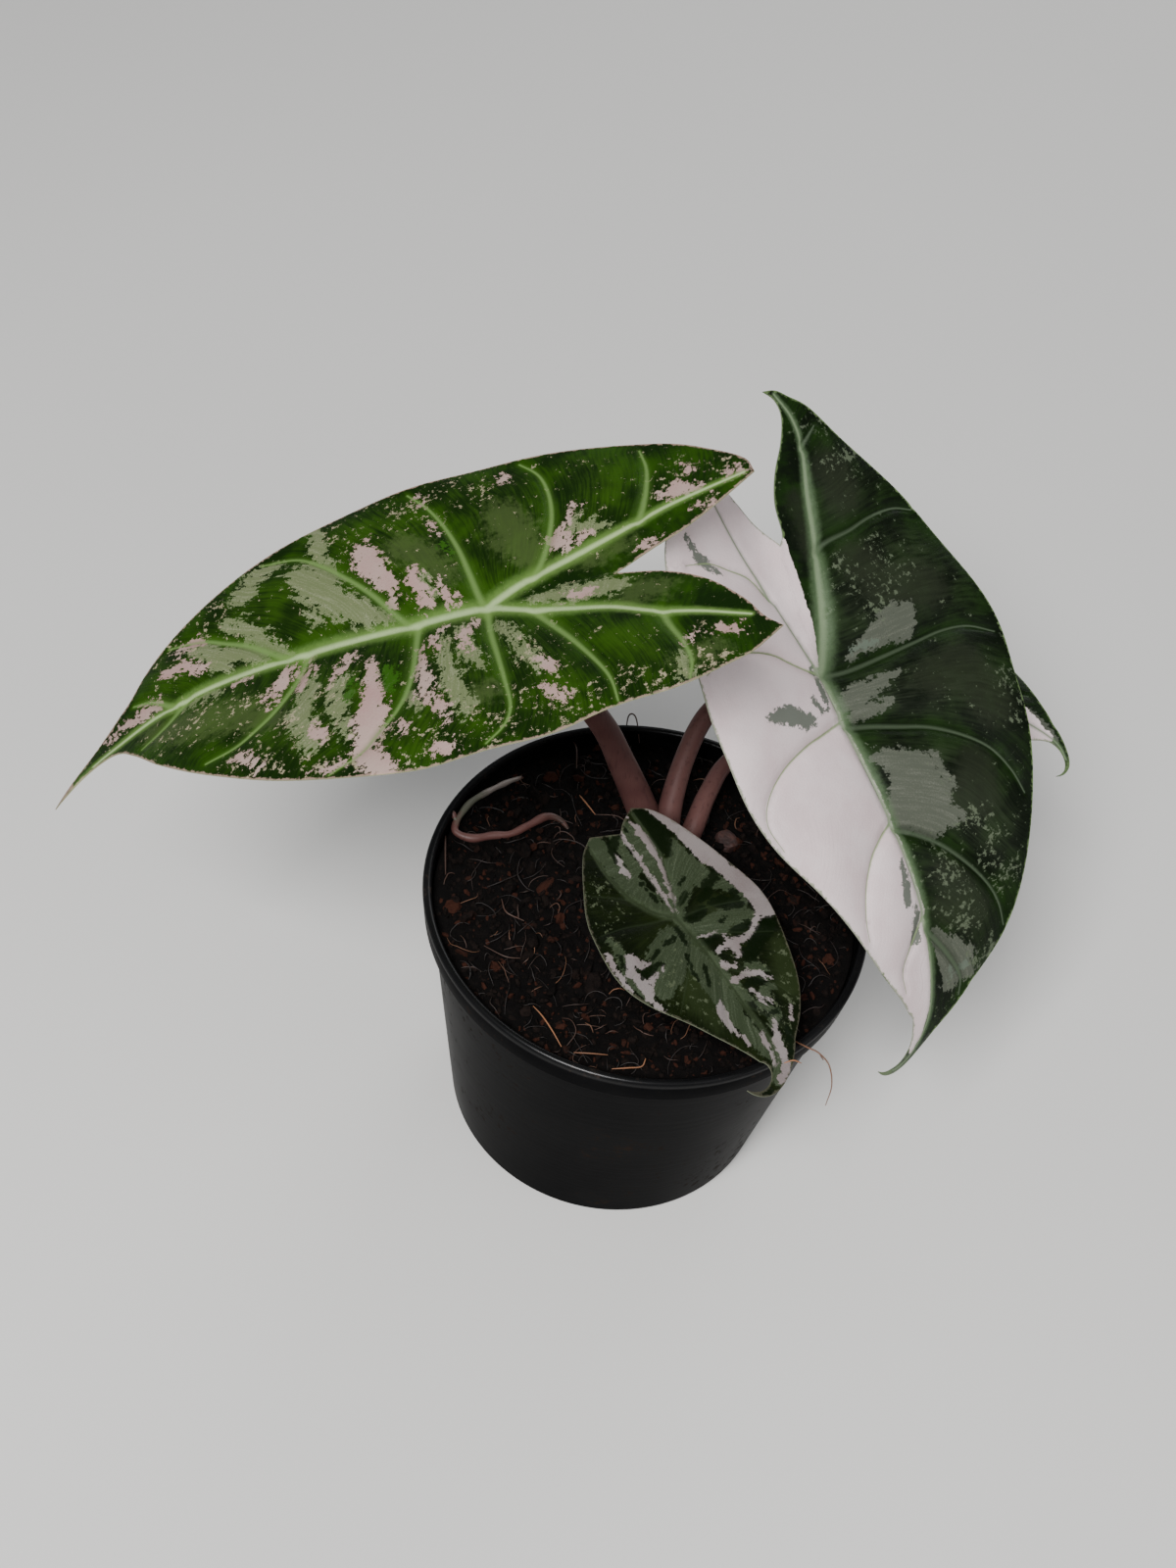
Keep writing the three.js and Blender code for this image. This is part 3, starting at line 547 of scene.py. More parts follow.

# %% [markdown]
# ## The small front leaf
#
# The young leaf in front is marbled all over, so its strokes are small and close. On every
# blade the kinds are laid in one order, each over those before: the greyish patches, which
# are partly painted sheen, then "sage", "fleck", "pale" and "spot".

# %% The small front leaf
FRONT_LEAF = {
    "node": "blade_front",
    "place": (7.1, -21.7, 110),
    "heading": -43,
    "dip": 12,
    "roll": -5,
    "bend": {"rise": 0, "droop": -0.3, "lobes": 0.16, "fold": 0.1, "arch": 0.17, "twist": -0.06},
    "wave": (0.4, 7),
    "hook": (42, -8),
    "sinus": (-26, 1.2),
    "tip": (60, 0),
    "spacing": 0.7,
    "quilt": 0.6,
    "groove": 0.4,
    "midrib": [(0, 0), (10, 0.7), (20, 0.9), (30, 0.9), (38, 1.0), (43, 0), (46.5, -3), (47.6, -6.5)],
    "midrib_width": (0.5, 0.2),
    "left": {
        "lobe_width": 0.45,
        "lobe": [(-28.5, 4), (-30.5, 8)],
        "margin": [
            (-27.5, 13), (-21, 17.5), (-9.5, 21.5), (3, 25.5), (16, 23.5), (28, 19.5),
            (36, 14), (41, 8.5), (44.5, 4.5), (49, 2),
        ],
        "lobe_vein": [(0, 0), (-6, 3.6), (-14, 6.6), (-22, 7.4), (-29, 7.4)],
        "side_veins": [
            [(-10, 5.2), (-14, 9), (-18, 14), (-20, 17)],
            [(-1, 0.5), (-4, 6), (-7, 12), (-9, 19)],
            [(0.5, 0.5), (1.5, 8), (3.5, 15), (6, 22)],
            [(5, 0.5), (8.5, 7), (12.5, 14), (16, 21)],
            [(16, 0.9), (21, 6), (27, 11.5), (32, 14)],
            [(28, 1), (33, 4), (38, 6)],
        ],
    },
    "right": {
        "lobe_width": 0.45,
        "lobe": [(-27.5, -2.5), (-29, -7)],
        "margin": [
            (-25.5, -12), (-18.5, -17.5), (-7.5, -23.5), (5.5, -26), (17, -22.5),
            (28, -14.5), (36, -8.5), (42, -4.8), (48, -2),
        ],
        "lobe_vein": [(0, 0), (-4, -4.6), (-10, -8), (-18, -9.6), (-26, -9)],
        "side_veins": [
            [(-9, -7.6), (-12, -12), (-15, -17)],
            [(-0.5, -0.5), (-2, -8), (-4, -15), (-5, -22)],
            [(1, -0.3), (3, -8), (5.5, -15), (8, -22)],
            [(7, 0.4), (12, -5), (17, -11), (22, -17)],
            [(18, 0.9), (24, -3), (30, -6.6), (34, -8)],
        ],
    },
    "patches": {
        "pale": [
            [
                (-29, 12.6, 1.2), (-25, 14.8, 1.9), (-20, 16.8, 2.2), (-10, 18.6, 3.0), (-5, 20.4, 2.3),
                (0, 22.2, 2.9), (5, 23.6, 2.8), (9.4, 22.6, 3.2),
            ],
            [
                (10.8, 19.4, 0.9), (12.6, 16.6, 0.9), (13.8, 13.4, 1.0), (13.2, 9.8, 1.3),
                (12.9, 6.6, 1.0), (13.1, 3.6, 0.5),
            ],
            [(10.8, 7.8, 0.7), (13.5, 8.4, 1.3), (16.5, 8.0, 1.0)],
            [
                (-28.8, 5.0, 0.6), (-24, 6.4, 1.0), (-20, 6.7, 1.1), (-12.6, 5.4, 0.8), (-4, 2.6, 0.4),
                (-1, 1.4, 0.2),
            ],
            [(-27, 1.2, 0.5), (-19.7, 1.5, 0.7), (-10.4, 1.0, 0.5), (-2, 0.4, 0.3)],
            [(-21.8, -3.2, 0.7), (-18.5, -4.0, 0.9), (-15.6, -4.3, 0.8)],
            [(-17.6, -4.4, 0.7), (-17.2, -5.8, 0.3)],
            [(8.6, 6.8, 0.4), (7.9, 3.6, 0.6), (7.3, 1.6, 0.3)],
            [(17, 3.0, 1.1), (18.6, 5.0, 0.7)],
            [(21.3, 2.4, 0.8), (21.7, 6.8, 0.9), (23.2, 9.8, 0.9), (26.4, 11.8, 0.5)],
            [(26, 4.8, 0.6), (29.2, 5.5, 0.7), (31.2, 7.4, 0.4)],
            [
                (35.2, 5.4, 0.6), (37.6, 4.0, 1.1), (40.4, 2.8, 1.3), (44.5, 1.9, 1.2),
                (47.4, 0.2, 1.2), (48.6, -2.4, 0.9),
            ],
            [(36, 0.6, 0.4), (40, -0.4, 0.7), (44.5, -1.2, 0.6)],
            [(24.8, -4.8, 0.7), (26.4, -6.0, 1.4), (30, -6.8, 1.1), (34, -5.6, 0.6), (37, -4.6, 0.4)],
            [
                (7.2, -15.6, 0.5), (6.4, -17.4, 1.1), (3.4, -19.6, 1.2), (7, -21.4, 1.5),
                (12, -20.4, 1.6), (15.6, -21.6, 0.9), (19.4, -20.4, 0.6),
            ],
            [(9.6, -12.8, 0.3), (10.8, -16.4, 0.6), (11.6, -19, 1.0)],
            [(0, -24.1, 0.6), (6, -25.0, 0.7), (11, -24.6, 0.5)],
            [(34.4, 11.6, 0.5), (37.4, 9.6, 0.4)],
        ],
        "sage": [
            [(-18, 12.4, 1.6), (-12, 11.4, 3.4), (-7, 12.6, 3.6), (-3, 15.4, 2.6), (1, 19, 1.2)],
            [(-12, 8, 2.4), (-6, 7, 2.8), (-2, 3, 1.6)],
            [(-27, 3.4, 2.4), (-14, 3.2, 2.8), (-6, 1.8, 2.0), (3, 0.5, 2.0)],
            [(-27, -6.6, 2.2), (-20, -6, 3.2), (-10, -4, 3.2), (-3, -1.8, 1.8)],
            [(-26, -1, 1.8), (-16, -1.4, 2.0)],
            [(3.4, 20, 1.8), (6.4, 15, 2.6), (7, 9, 3.0), (6, 4, 3.0)],
            [(9, 18, 1.6), (10, 13, 1.2)],
            [(14, 1.6, 1.4), (20, 1.6, 1.4), (27, 2.6, 1.4)],
            [(6, -3, 2.4), (12, -3.4, 3.4), (20, -3.2, 3.6), (28, -3.4, 3.4), (36, -2.6, 2.2), (42, -1, 1.8)],
            [(3, -4, 2.2), (7.6, -8, 4.0), (11, -12, 4.6), (14.4, -17, 3.2)],
            [(2.4, -6, 1.4), (4.4, -11, 1.6), (5.4, -14, 1.2)],
            [(-3, -21, 1.0), (2, -21, 1.8), (8, -22, 2.2), (15, -21.4, 1.6)],
            [(27.6, 10.8, 1.2), (28, 7.6, 1.4)],
            [(20.6, 9, 1.6), (23, 11.6, 1.2)],
            [(30, 4.4, 1.2), (34, 7, 1.2), (36, 4, 1.4)],
            [(40, 2.6, 2.0), (45, 0.4, 2.6), (48, -3, 1.6)],
        ],
        "dim_and_sheen": [
            [(-15, 11, 3), (-9, 9, 4)],
            [(16, -9, 4), (22, -9, 5), (28, -9, 3)],
            [(2, 10, 3), (8, 12, 3)],
            [(20, 20, 3), (30, 15, 4)],
        ],
        "spot": [
            [(-28.6, 8.4, 1.2), (-24.6, 10.4, 2.2), (-20, 10.6, 3.0), (-16.6, 9.4, 1.8)],
            [(-6.8, 17, 0.7), (-4, 16.4, 1.3), (-3.4, 13.2, 1.4), (-1.4, 12, 1.5), (-0.6, 9, 1.3)],
            [(2.2, 18.2, 1.4), (5, 17, 1.8), (3.2, 14, 1.9), (1.6, 11.6, 1.3)],
            [(1.8, 7.6, 1.5), (2.8, 4.8, 1.5), (1.9, 2.2, 1.1)],
            [(-4.3, 6.8, 0.8), (-3.2, 4.6, 0.9), (-2.2, 2.6, 0.5)],
            [(-7.8, 8.8, 0.5), (-6.8, 6.8, 0.6)],
            [(6.8, 11.6, 0.5), (6.8, 9.6, 0.6)],
            [(10.9, 15.4, 1.1), (11, 11.2, 1.2)],
            [(9.5, 6.2, 0.8), (9.8, 3.6, 0.9), (9.4, 1.8, 0.6)],
            [(14, 21, 2.0), (16, 15, 2.0), (18, 10.6, 2.2)],
            [(-26.6, 3, 0.6), (-25.4, 3.4, 0.4)],
            [(-26, 0.2, 0.9), (-24.6, -2.4, 1.6), (-22.4, -4.4, 0.9), (-20.4, -4.7, 0.5)],
            [(-12, -2.2, 0.8), (-9, -2, 0.5), (-6, -1.6, 0.4)],
            [(2, -2, 0.6), (5, -2.2, 0.9), (7.6, -2.6, 0.7)],
            [(4.5, -4.6, 0.6), (4.8, -8.4, 0.6)],
            [(5.4, -10.8, 0.6), (6.2, -13.4, 0.9)],
            [(8.6, -12.6, 0.7), (8.9, -17, 1.1), (9.3, -20.2, 0.6)],
            [(10.4, -4.6, 0.8), (13.4, -5.6, 0.6), (16.6, -6.6, 0.6)],
            [(14.6, -2.6, 0.5), (17.6, -3.6, 0.8), (19.2, -5.2, 0.5)],
            [(24.7, 9.2, 0.8), (24.3, 6.8, 1.1), (24, 4.2, 0.7)],
            [(2.4, -21.6, 0.9), (5, -22.4, 0.8)],
            [(33.6, 7.4, 0.6), (33.4, 5, 0.5)],
            [(38.4, 7.4, 0.7), (41, 6, 1.0), (44.4, 4.4, 0.8)],
            [(42.6, -3.6, 0.4), (45, -3.5, 0.6)],
        ],
        "fleck": [
            [(14, -10, 4), (20, -13, 5), (26, -11, 4)],
            [(-14, -12, 4), (-10, -18, 4), (-3, -20, 3)],
            [(14, 20, 3), (20, 20, 3), (34, 10, 3), (40, 7, 3)],
            [(22, 12, 4), (30, 6, 4)],
        ],
    },
}
print("front leaf:", len(FRONT_LEAF["patches"]["spot"]), "dark strokes")

# %% [markdown]
# ## The hidden back leaf
#
# Only the end of this blade shows past the half-moon leaf. The rest is drawn as a smaller
# leaf of the same kind, so that the plant is whole from every side.

# %% The hidden back leaf
BACK_LEAF = {
    "node": "blade_back",
    "place": (59.5, 78, 114.4),
    "heading": -17,
    "dip": 2,
    "roll": -3,
    "bend": {"rise": 0, "droop": -0.28, "lobes": 0.1, "fold": 0.15, "arch": 0.15, "twist": 0},
    "wave": (0.4, 7),
    "hook": (45.5, -7),
    "sinus": (-16, 0),
    "tip": (64, 0),
    "spacing": 0.8,
    "quilt": 1.0,
    "groove": 0.6,
    "midrib": [(0, 0), (16, 0.2), (32, 0.2), (44, 0), (49.5, -1.4), (52.6, -4.6)],
    "midrib_width": (0.8, 0.2),
    "left": {
        "lobe_width": 0.68,
        "lobe": [(-24, 4), (-33, 10)],
        "margin": [
            (-30, 17), (-20, 20.5), (-7, 22.7), (7, 22.7), (20, 19.5), (32, 13.8), (42, 7.2),
            (46.5, 3.6), (51, 1.4), (57, 0.6),
        ],
        "lobe_vein": [(0, 0), (-10, 4.2), (-20, 8), (-31, 11)],
        "side_veins": [
            [(-15, 6.2), (-18, 12), (-19, 19)],
            [(0, 0.5), (0.5, 9), (1.5, 16), (4, 21)],
            [(9, 0.3), (13, 8), (19, 14), (25, 16)],
            [(24, 0.3), (30, 6), (36, 9)],
        ],
    },
    "right": {
        "lobe_width": 0.68,
        "lobe": [(-24, -4), (-33, -10)],
        "margin": [
            (-30, -17), (-20, -20.5), (-7, -22.7), (7, -22.7), (20, -19.5), (32, -13.2), (40, -6.6),
            (45, -2.6), (50, -1.2), (57, -0.6),
        ],
        "lobe_vein": [(0, 0), (-10, -4.2), (-20, -8), (-31, -11)],
        "side_veins": [
            [(-15, -6.2), (-18, -12), (-19, -19)],
            [(0, -0.5), (0.5, -9), (1.5, -16), (4, -21)],
            [(9, 0), (13, -8), (19, -14), (25, -16)],
            [(24, 0), (30, -6), (36, -9)],
        ],
    },
    "patches": {
        "pale": [
            [(20, -7, 6.5), (28, -5, 7.0), (35, -3, 6.0), (41, -1.6, 4.0), (45, -0.6, 2.0)],
            [(18, 3, 4.0), (26, 3, 4.2), (34, 2.4, 3.4), (40, 1.2, 2.4)],
            [(-12, 13, 2.2), (-5, 16, 2.8), (2, 18, 2.0)],
            [(12, 4, 0.9), (16, 9, 1.4), (20, 12, 1.0)],
        ],
        "sage": [
            [(38, 3, 2.4), (43, 1, 2.6), (47, -0.6, 2.0)],
            [(4, -6, 2.0), (7, -12, 2.8), (10, -17, 2.0)],
            [(-20, -10, 2.4), (-12, -12, 2.6)],
            [(-8, 10, 2.0), (0, 13, 2.4)],
        ],
        "dim_and_sheen": [[(-5, -14, 4), (16, -14, 4)], [(10, 14, 4), (22, 10, 4)]],
        "spot": [[(36, -6.4, 0.8), (38.5, -5.2, 0.8)]],
        "fleck": [[(-10, 8, 5), (8, 10, 5), (26, 6, 4)], [(-12, -16, 4), (14, -12, 5)]],
    },
}
LEAVES = [LEFT_LEAF, HALF_MOON_LEAF, FRONT_LEAF, BACK_LEAF]
print("leaves:", [leaf["node"] for leaf in LEAVES])

# %% [markdown]
# ## The outline of a blade
#
# The drawn points become one closed line with even steps. The drip tip of the real leaf
# turns sideways in the blade's own surface, so past its start the plane is rolled round a
# circle. Points moved by hand would change the tip's length.

# %% Flat outline
LOBE_SAMPLES = 12
MARGIN_SAMPLES = 14
EDGE_STEP = 0.9


def hooked(hook, points):
    """The drip tip turns sideways in the blade's own surface."""
    start, degrees = hook
    per_mm = math.radians(degrees)
    x, y = points.T
    past = np.maximum(x - start, 0)
    turn = past * per_mm
    radius = 1 / per_mm
    bent = np.stack([start + (radius - y) * np.sin(turn), radius - (radius - y) * np.cos(turn)], 1)
    return np.where((past > 0)[:, None], bent, points)


def leaf_outline(leaf):
    """The closed outline, anticlockwise from the sinus."""
    stretches = []
    for half in (leaf["right"], leaf["left"]):
        inner = smooth_line([leaf["sinus"], *half["lobe"]], LOBE_SAMPLES)
        outer = smooth_line([half["lobe"][-1], *half["margin"], leaf["tip"]], MARGIN_SAMPLES)
        stretches.append([inner, outer])
    (right_inner, right_outer), (left_inner, left_outer) = stretches
    order = [right_inner, right_outer, left_outer[::-1], left_inner[::-1]]
    step = EDGE_STEP * leaf["spacing"]
    return np.vstack([even_line(hooked(leaf["hook"], part), step)[:-1] for part in order])


print("outline of the left leaf:", len(leaf_outline(LEFT_LEAF)), "points")

# %% [markdown]
# ## From a drawing to a mesh
#
# A blade needs an exact outline, vertices along every vein and an even mesh between them.
# A grid would cut the outline into steps, and rings drawn in towards the stalk would
# bunch up there. A constrained Delaunay triangulation takes the outline and the veins as
# edges that must exist, and fills in between them from a honeycomb of points. It fills
# the hollows of the outline too, so only triangles whose centre lies inside are kept.
# Points that would crowd an edge are left out; those gaps are shares of the spacing.

# %% Flat mesh
VEIN_SAMPLES = 8
SIDE_VEIN_SHARE = 0.95
GRID_TO_EDGE = 0.6
VEIN_TO_EDGE = 0.55
GRID_TO_VEIN = 0.5
SAME_PLACE = 1e-5


def inside(loop, points):
    """Which points lie inside a closed loop."""
    x, y = points.T
    found = np.zeros(len(points), bool)
    for (x0, y0), (x1, y1) in zip(loop, np.roll(loop, -1, axis=0)):
        if y0 == y1:
            continue
        crosses = ((y0 > y) != (y1 > y)) & (x < (x1 - x0) * (y - y0) / (y1 - y0) + x0)
        found ^= crosses
    return found


def leaf_veins(leaf):
    """Every vein as (line, half width at its start, at its end, is a main vein)."""
    wide, narrow = leaf["midrib_width"]
    veins = [(smooth_line(leaf["midrib"], VEIN_SAMPLES), wide, narrow, True)]
    for half in (leaf["left"], leaf["right"]):
        veins.append((smooth_line(half["lobe_vein"], VEIN_SAMPLES), half["lobe_width"], narrow, True))
        for line in half["side_veins"]:
            veins.append((smooth_line(line, VEIN_SAMPLES), SIDE_VEIN_SHARE * wide, narrow, False))
    return veins


def honeycomb(low, high, step):
    """Points of a triangular grid over a box."""
    rows = np.arange(low[1], high[1], step * math.sqrt(3) / 2)
    columns = np.arange(low[0], high[0], step)
    x = columns[None, :] + 0.5 * step * (np.arange(len(rows))[:, None] % 2)
    y = np.repeat(rows[:, None], len(columns), axis=1)
    return np.stack([x.ravel(), y.ravel()], 1)


def flat_mesh(leaf, outline, veins):
    """Flat points and triangles that follow the outline and the veins."""
    step = leaf["spacing"]
    grid = honeycomb(outline.min(0), outline.max(0), step)
    grid = grid[inside(outline, grid)]
    loop = np.vstack([outline, outline[:1]])
    grid = grid[nearest_on(loop, grid)[0] > GRID_TO_EDGE * step]
    points = [outline]
    edges = []
    used = len(outline)
    for line, _, _, _ in veins:
        path = even_line(line, step)
        keep = inside(outline, path) & (nearest_on(loop, path)[0] > VEIN_TO_EDGE * step)
        path = path[keep]
        grid = grid[nearest_on(path, grid)[0] > GRID_TO_VEIN * step]
        points.append(path)
        edges += [(used + i, used + i + 1) for i in range(len(path) - 1)]
        used += len(path)
    everything = [Vector(p) for p in np.vstack([*points, grid])]
    face = [list(range(len(outline)))]
    found = geometry.delaunay_2d_cdt(everything, edges, face, 0, SAME_PLACE, False)
    flat = np.array([tuple(p) for p in found[0]])
    triangles = np.array([tuple(f) for f in found[2]])
    return flat, triangles[inside(outline, flat[triangles].mean(axis=1))]


print("veins of the left leaf:", len(leaf_veins(LEFT_LEAF)))

# %% [markdown]
# ## What the surface knows about itself
#
# A real leaf's colours follow its veins: pale sectors run along them, and their ragged
# ends are drawn out the same way. So each point is told which pair of side veins it lies
# between (across) and how far out from the midrib it is (along). The inner part of a back
# lobe has no side veins, so it takes a range of numbers of its own.

# %% Across and along
VEIN_GAP = 22.0
INNER_START = -3 * VEIN_GAP
INNER_REACH = 20


def half_flow(half, midrib, points, turn):
    """Across, along and quilting of one half. turn is 1 for the left half, -1 for the right."""
    lobe = smooth_line(half["lobe_vein"], VEIN_SAMPLES)
    from_lobe, share, side = nearest_on(lobe, points)
    out = np.minimum(from_lobe, nearest_on(midrib, points)[0])
    signed = []
    for line in half["side_veins"]:
        gap, _, where = nearest_on(smooth_line(line, VEIN_SAMPLES), points)
        signed.append(-turn * where * gap)
    signed = np.array(signed)
    passed = (signed > 0).sum(0)
    last = len(signed) - 1
    rows = np.arange(len(points))
    before = signed[np.clip(passed - 1, 0, last), rows]
    after = signed[np.clip(passed, 0, last), rows]
    between = (passed > 0) & (passed <= last)
    part = np.where(between, before / np.maximum(before - after, 1e-6), 0)
    across = VEIN_GAP * (passed - 1 + part)
    across = np.where(passed == 0, signed[0] - VEIN_GAP, across)
    across = np.where(passed > last, VEIN_GAP * last + signed[-1], across)
    inner = (turn * side > 0) & (points[:, 0] < 0)
    across = np.where(inner, INNER_START - INNER_REACH * share, across)
    quilt = np.where(between & ~inner, 4 * part * (1 - part), 0)
    return across, out, quilt


print("for the noise, side veins lie", VEIN_GAP, "mm apart")

# %% [markdown]
# ## Fields and low relief
#
# Each place is told how deep it lies inside the nearest drawn stroke, so that the
# material can tear the edge with noise. It gets its distances to the veins and the margin
# too, which also shape the low relief. The halves are set far apart in the noise, so that
# one doesn't mirror the other.

# %% Fields on a blade
OUTSIDE_STROKES = -9.0
FAR_FROM_VEINS = 12.0
HALF_OFFSET = 200
VEIN_FADE = 0.6
MAIN_GROOVE = 0.4
GROOVE_REACH = 0.6
SIDE_RIB = 0.5
RIB_REACH = 0.5
RIB_SPREAD = 0.7
QUILT_FROM_VEIN = 5
QUILT_FROM_EDGE = 6


def stroke_field(strokes, points):
    """How deep each point lies inside the nearest stroke, in millimetres."""
    field = np.full(len(points), OUTSIDE_STROKES)
    for stroke in strokes:
        for (x0, y0, r0), (x1, y1, r1) in zip(stroke, stroke[1:] or stroke):
            start = np.array([x0, y0])
            span = np.array([x1 - x0, y1 - y0])
            t = np.clip((points - start) @ span / max(span @ span, 1e-9), 0, 1)
            gap = np.linalg.norm(points - start - t[:, None] * span, axis=1)
            field = np.maximum(field, r0 + (r1 - r0) * t - gap)
    return field


def leaf_fields(leaf, outline, veins, points):
    """All the numbers that a blade's material and relief read."""
    midrib = veins[0][0]
    sinus = np.array(leaf["sinus"])
    seam = np.where(
        points[:, 0] > 0,
        np.interp(points[:, 0], midrib[:, 0], midrib[:, 1]),
        points[:, 0] * sinus[1] / sinus[0],
    )
    on_left = points[:, 1] > seam
    flows = [half_flow(leaf[half], midrib, points, turn) for half, turn in (("left", 1), ("right", -1))]
    across, out, quilt = [np.where(on_left, a, b) for a, b in zip(*flows)]
    ratios = {kind: np.full(len(points), FAR_FROM_VEINS) for kind in ("main", "side")}
    groove = np.zeros(len(points))
    rib = np.zeros(len(points))
    for line, wide, narrow, main in veins:
        gap, share, _ = nearest_on(line, points)
        width = wide + (narrow - wide) * share
        kind = "main" if main else "side"
        ratios[kind] = np.minimum(ratios[kind], gap / width)
        sunk = (MAIN_GROOVE if main else 1.0) * (1 - VEIN_FADE * share)
        groove = np.maximum(groove, sunk * np.exp(-((gap / (GROOVE_REACH + width)) ** 2)))
        raised = (1.0 if main else SIDE_RIB) * (1 - VEIN_FADE * share)
        rib = np.maximum(rib, raised * np.exp(-((gap / (RIB_REACH + RIB_SPREAD * width)) ** 2)))
    margin = nearest_on(np.vstack([outline, outline[:1]]), points)[0]
    fields = {name: stroke_field(strokes, points) for name, strokes in leaf["patches"].items()}
    fields.update(ratios)
    fields["margin"] = margin
    by_vein = 1 - np.exp(-out / QUILT_FROM_VEIN)
    by_edge = 1 - np.exp(-margin / QUILT_FROM_EDGE)
    fields["quilt"] = quilt * by_vein * by_edge
    flow = np.stack([across + HALF_OFFSET * on_left, out, np.zeros(len(points))], 1)
    return fields, flow, groove, rib


print("strokes of the left leaf:", {kind: len(rows) for kind, rows in LEFT_LEAF["patches"].items()})

# %% [markdown]
# ## Bending the blade
#
# The flat blade is bent by one formula: a curve along the midrib, a soft fold along it
# with halves that arch over, a twist, and a ripple that grows towards the margin. It is
# the frame's own formula, so the finished blade lies in its solid.

# %% Blade surface
FOLD_ROUNDING = 4.0
SPAN = 100.0
RIPPLE_REACH = 9.0


def blade_height(leaf, points, margin):
    """The smooth height of the blade over its flat plane."""
    x, y = points.T
    bend = leaf["bend"]
    ahead = np.maximum(x, 0) / SPAN
    behind = np.minimum(x, 0) / SPAN
    sideways = y / SPAN
    along = bend["rise"] * ahead**2 + bend["droop"] * ahead**3 + bend["lobes"] * behind**2
    fold = bend["fold"] * (np.hypot(y, FOLD_ROUNDING) - FOLD_ROUNDING)
    twist = bend["twist"] * sideways * (ahead + behind)
    wave_height, wave_count = leaf["wave"]
    ripple = wave_height * np.exp(-margin / RIPPLE_REACH) * np.sin(wave_count * np.arctan2(y, x))
    return fold + SPAN * (along - bend["arch"] * sideways**2 + twist) + ripple


def blade_turn(leaf):
    """How a blade is turned in space: heading, then dip, then roll."""
    turns = [("heading", "Z"), ("dip", "Y"), ("roll", "X")]
    result = Matrix.Identity(3)
    for angle, axis in turns:
        result = result @ Matrix.Rotation(math.radians(leaf[angle]), 3, axis)
    return result


print("the left leaf dips by", LEFT_LEAF["dip"], "degrees")

# %% [markdown]
# ## Both faces of a blade
#
# The underside is the same surface a little lower, with ribs under the veins, and a rim
# closes the two. A Solidify modifier would give one thickness everywhere, but the real
# skin thins towards its margin.

# %% Blade mesh
BLADE_SKIN = 0.55
BLADE_EDGE = 0.35
EDGE_REACH = 3
RIB_DEPTH = 1.3
RIB_END = 4
BLADE_SHARP = math.radians(60)


def keep_field(mesh, name, values):
    """Stores one number for each vertex."""
    attribute = mesh.attributes.new(name, "FLOAT", "POINT")
    attribute.data.foreach_set("value", np.asarray(values, np.float32))


def keep_vectors(mesh, name, values):
    """Stores one vector for each vertex."""
    attribute = mesh.attributes.new(name, "FLOAT_VECTOR", "POINT")
    attribute.data.foreach_set("vector", np.asarray(values, np.float32).ravel())


def make_blade(leaf, top_finish, under_finish):
    """A whole blade: both faces, the rim between them and all its fields."""
    outline = leaf_outline(leaf)
    veins = leaf_veins(leaf)
    points, triangles = flat_mesh(leaf, outline, veins)
    fields, flow, groove, rib = leaf_fields(leaf, outline, veins, points)
    top = blade_height(leaf, points, fields["margin"])
    top += leaf["quilt"] * fields["quilt"] - leaf["groove"] * groove
    skin = BLADE_EDGE + (BLADE_SKIN - BLADE_EDGE) * (1 - np.exp(-fields["margin"] / EDGE_REACH))
    under = top - skin - RIB_DEPTH * rib * (1 - np.exp(-fields["margin"] / RIB_END))
    corners = np.vstack([np.column_stack([points, top]), np.column_stack([points, under])])
    turn = np.array(blade_turn(leaf))
    corners = (corners @ turn.T + np.array(leaf["place"])) * MM
    count = len(points)
    ccw = []
    for a, b, c in triangles:
        area = np.cross(points[b] - points[a], points[c] - points[a])
        ccw.append((a, b, c) if area > 0 else (a, c, b))
    rim = {}
    for a, b, c in ccw:
        for edge in ((a, b), (b, c), (c, a)):
            if edge[::-1] in rim:
                del rim[edge[::-1]]
            else:
                rim[edge] = True
    faces = ccw + [(c + count, b + count, a + count) for a, b, c in ccw]
    faces += [(a, a + count, b + count, b) for a, b in rim]
    mesh = bpy.data.meshes.new(leaf["node"] + "_skin")
    mesh.from_pydata(corners.tolist(), [], faces)
    mesh.materials.append(top_finish)
    mesh.materials.append(under_finish)
    sheets = np.ones(len(faces), np.int32)
    sheets[: len(ccw)] = 0
    mesh.polygons.foreach_set("material_index", sheets)
    for name, values in fields.items():
        keep_field(mesh, name, np.tile(values, 2))
    keep_vectors(mesh, "plan", np.tile(np.column_stack([points, np.zeros(count)]), (2, 1)))
    keep_vectors(mesh, "flow", np.tile(flow, (2, 1)))
    mesh.shade_smooth()
    mesh.set_sharp_from_angle(angle=BLADE_SHARP)
    return mesh


print("a blade is", BLADE_EDGE, "to", BLADE_SKIN, "mm thick, with ribs up to", RIB_DEPTH, "mm deep")

# %% [markdown]
# ## Leaf colours
#
# The skin is layered as the real one is: green tissue first, then sectors where the upper
# layer has lost its green and looks greyish, then sectors where all of it is gone and the
# leaf is cream or pink. A lighter tone on the bulges between the side veins is a painted
# sheen, and the soft greyish patches are partly grey tissue and partly painted sheen.
# Each sector's edge is torn by noise that is stretched along the veins, fine crumbs of
# colour scatter between them, and the veins are laid over it all. The underside takes the
# same layers, paler and duller.


# %% Leaf finish
LEAF_SPECULAR = 0.1


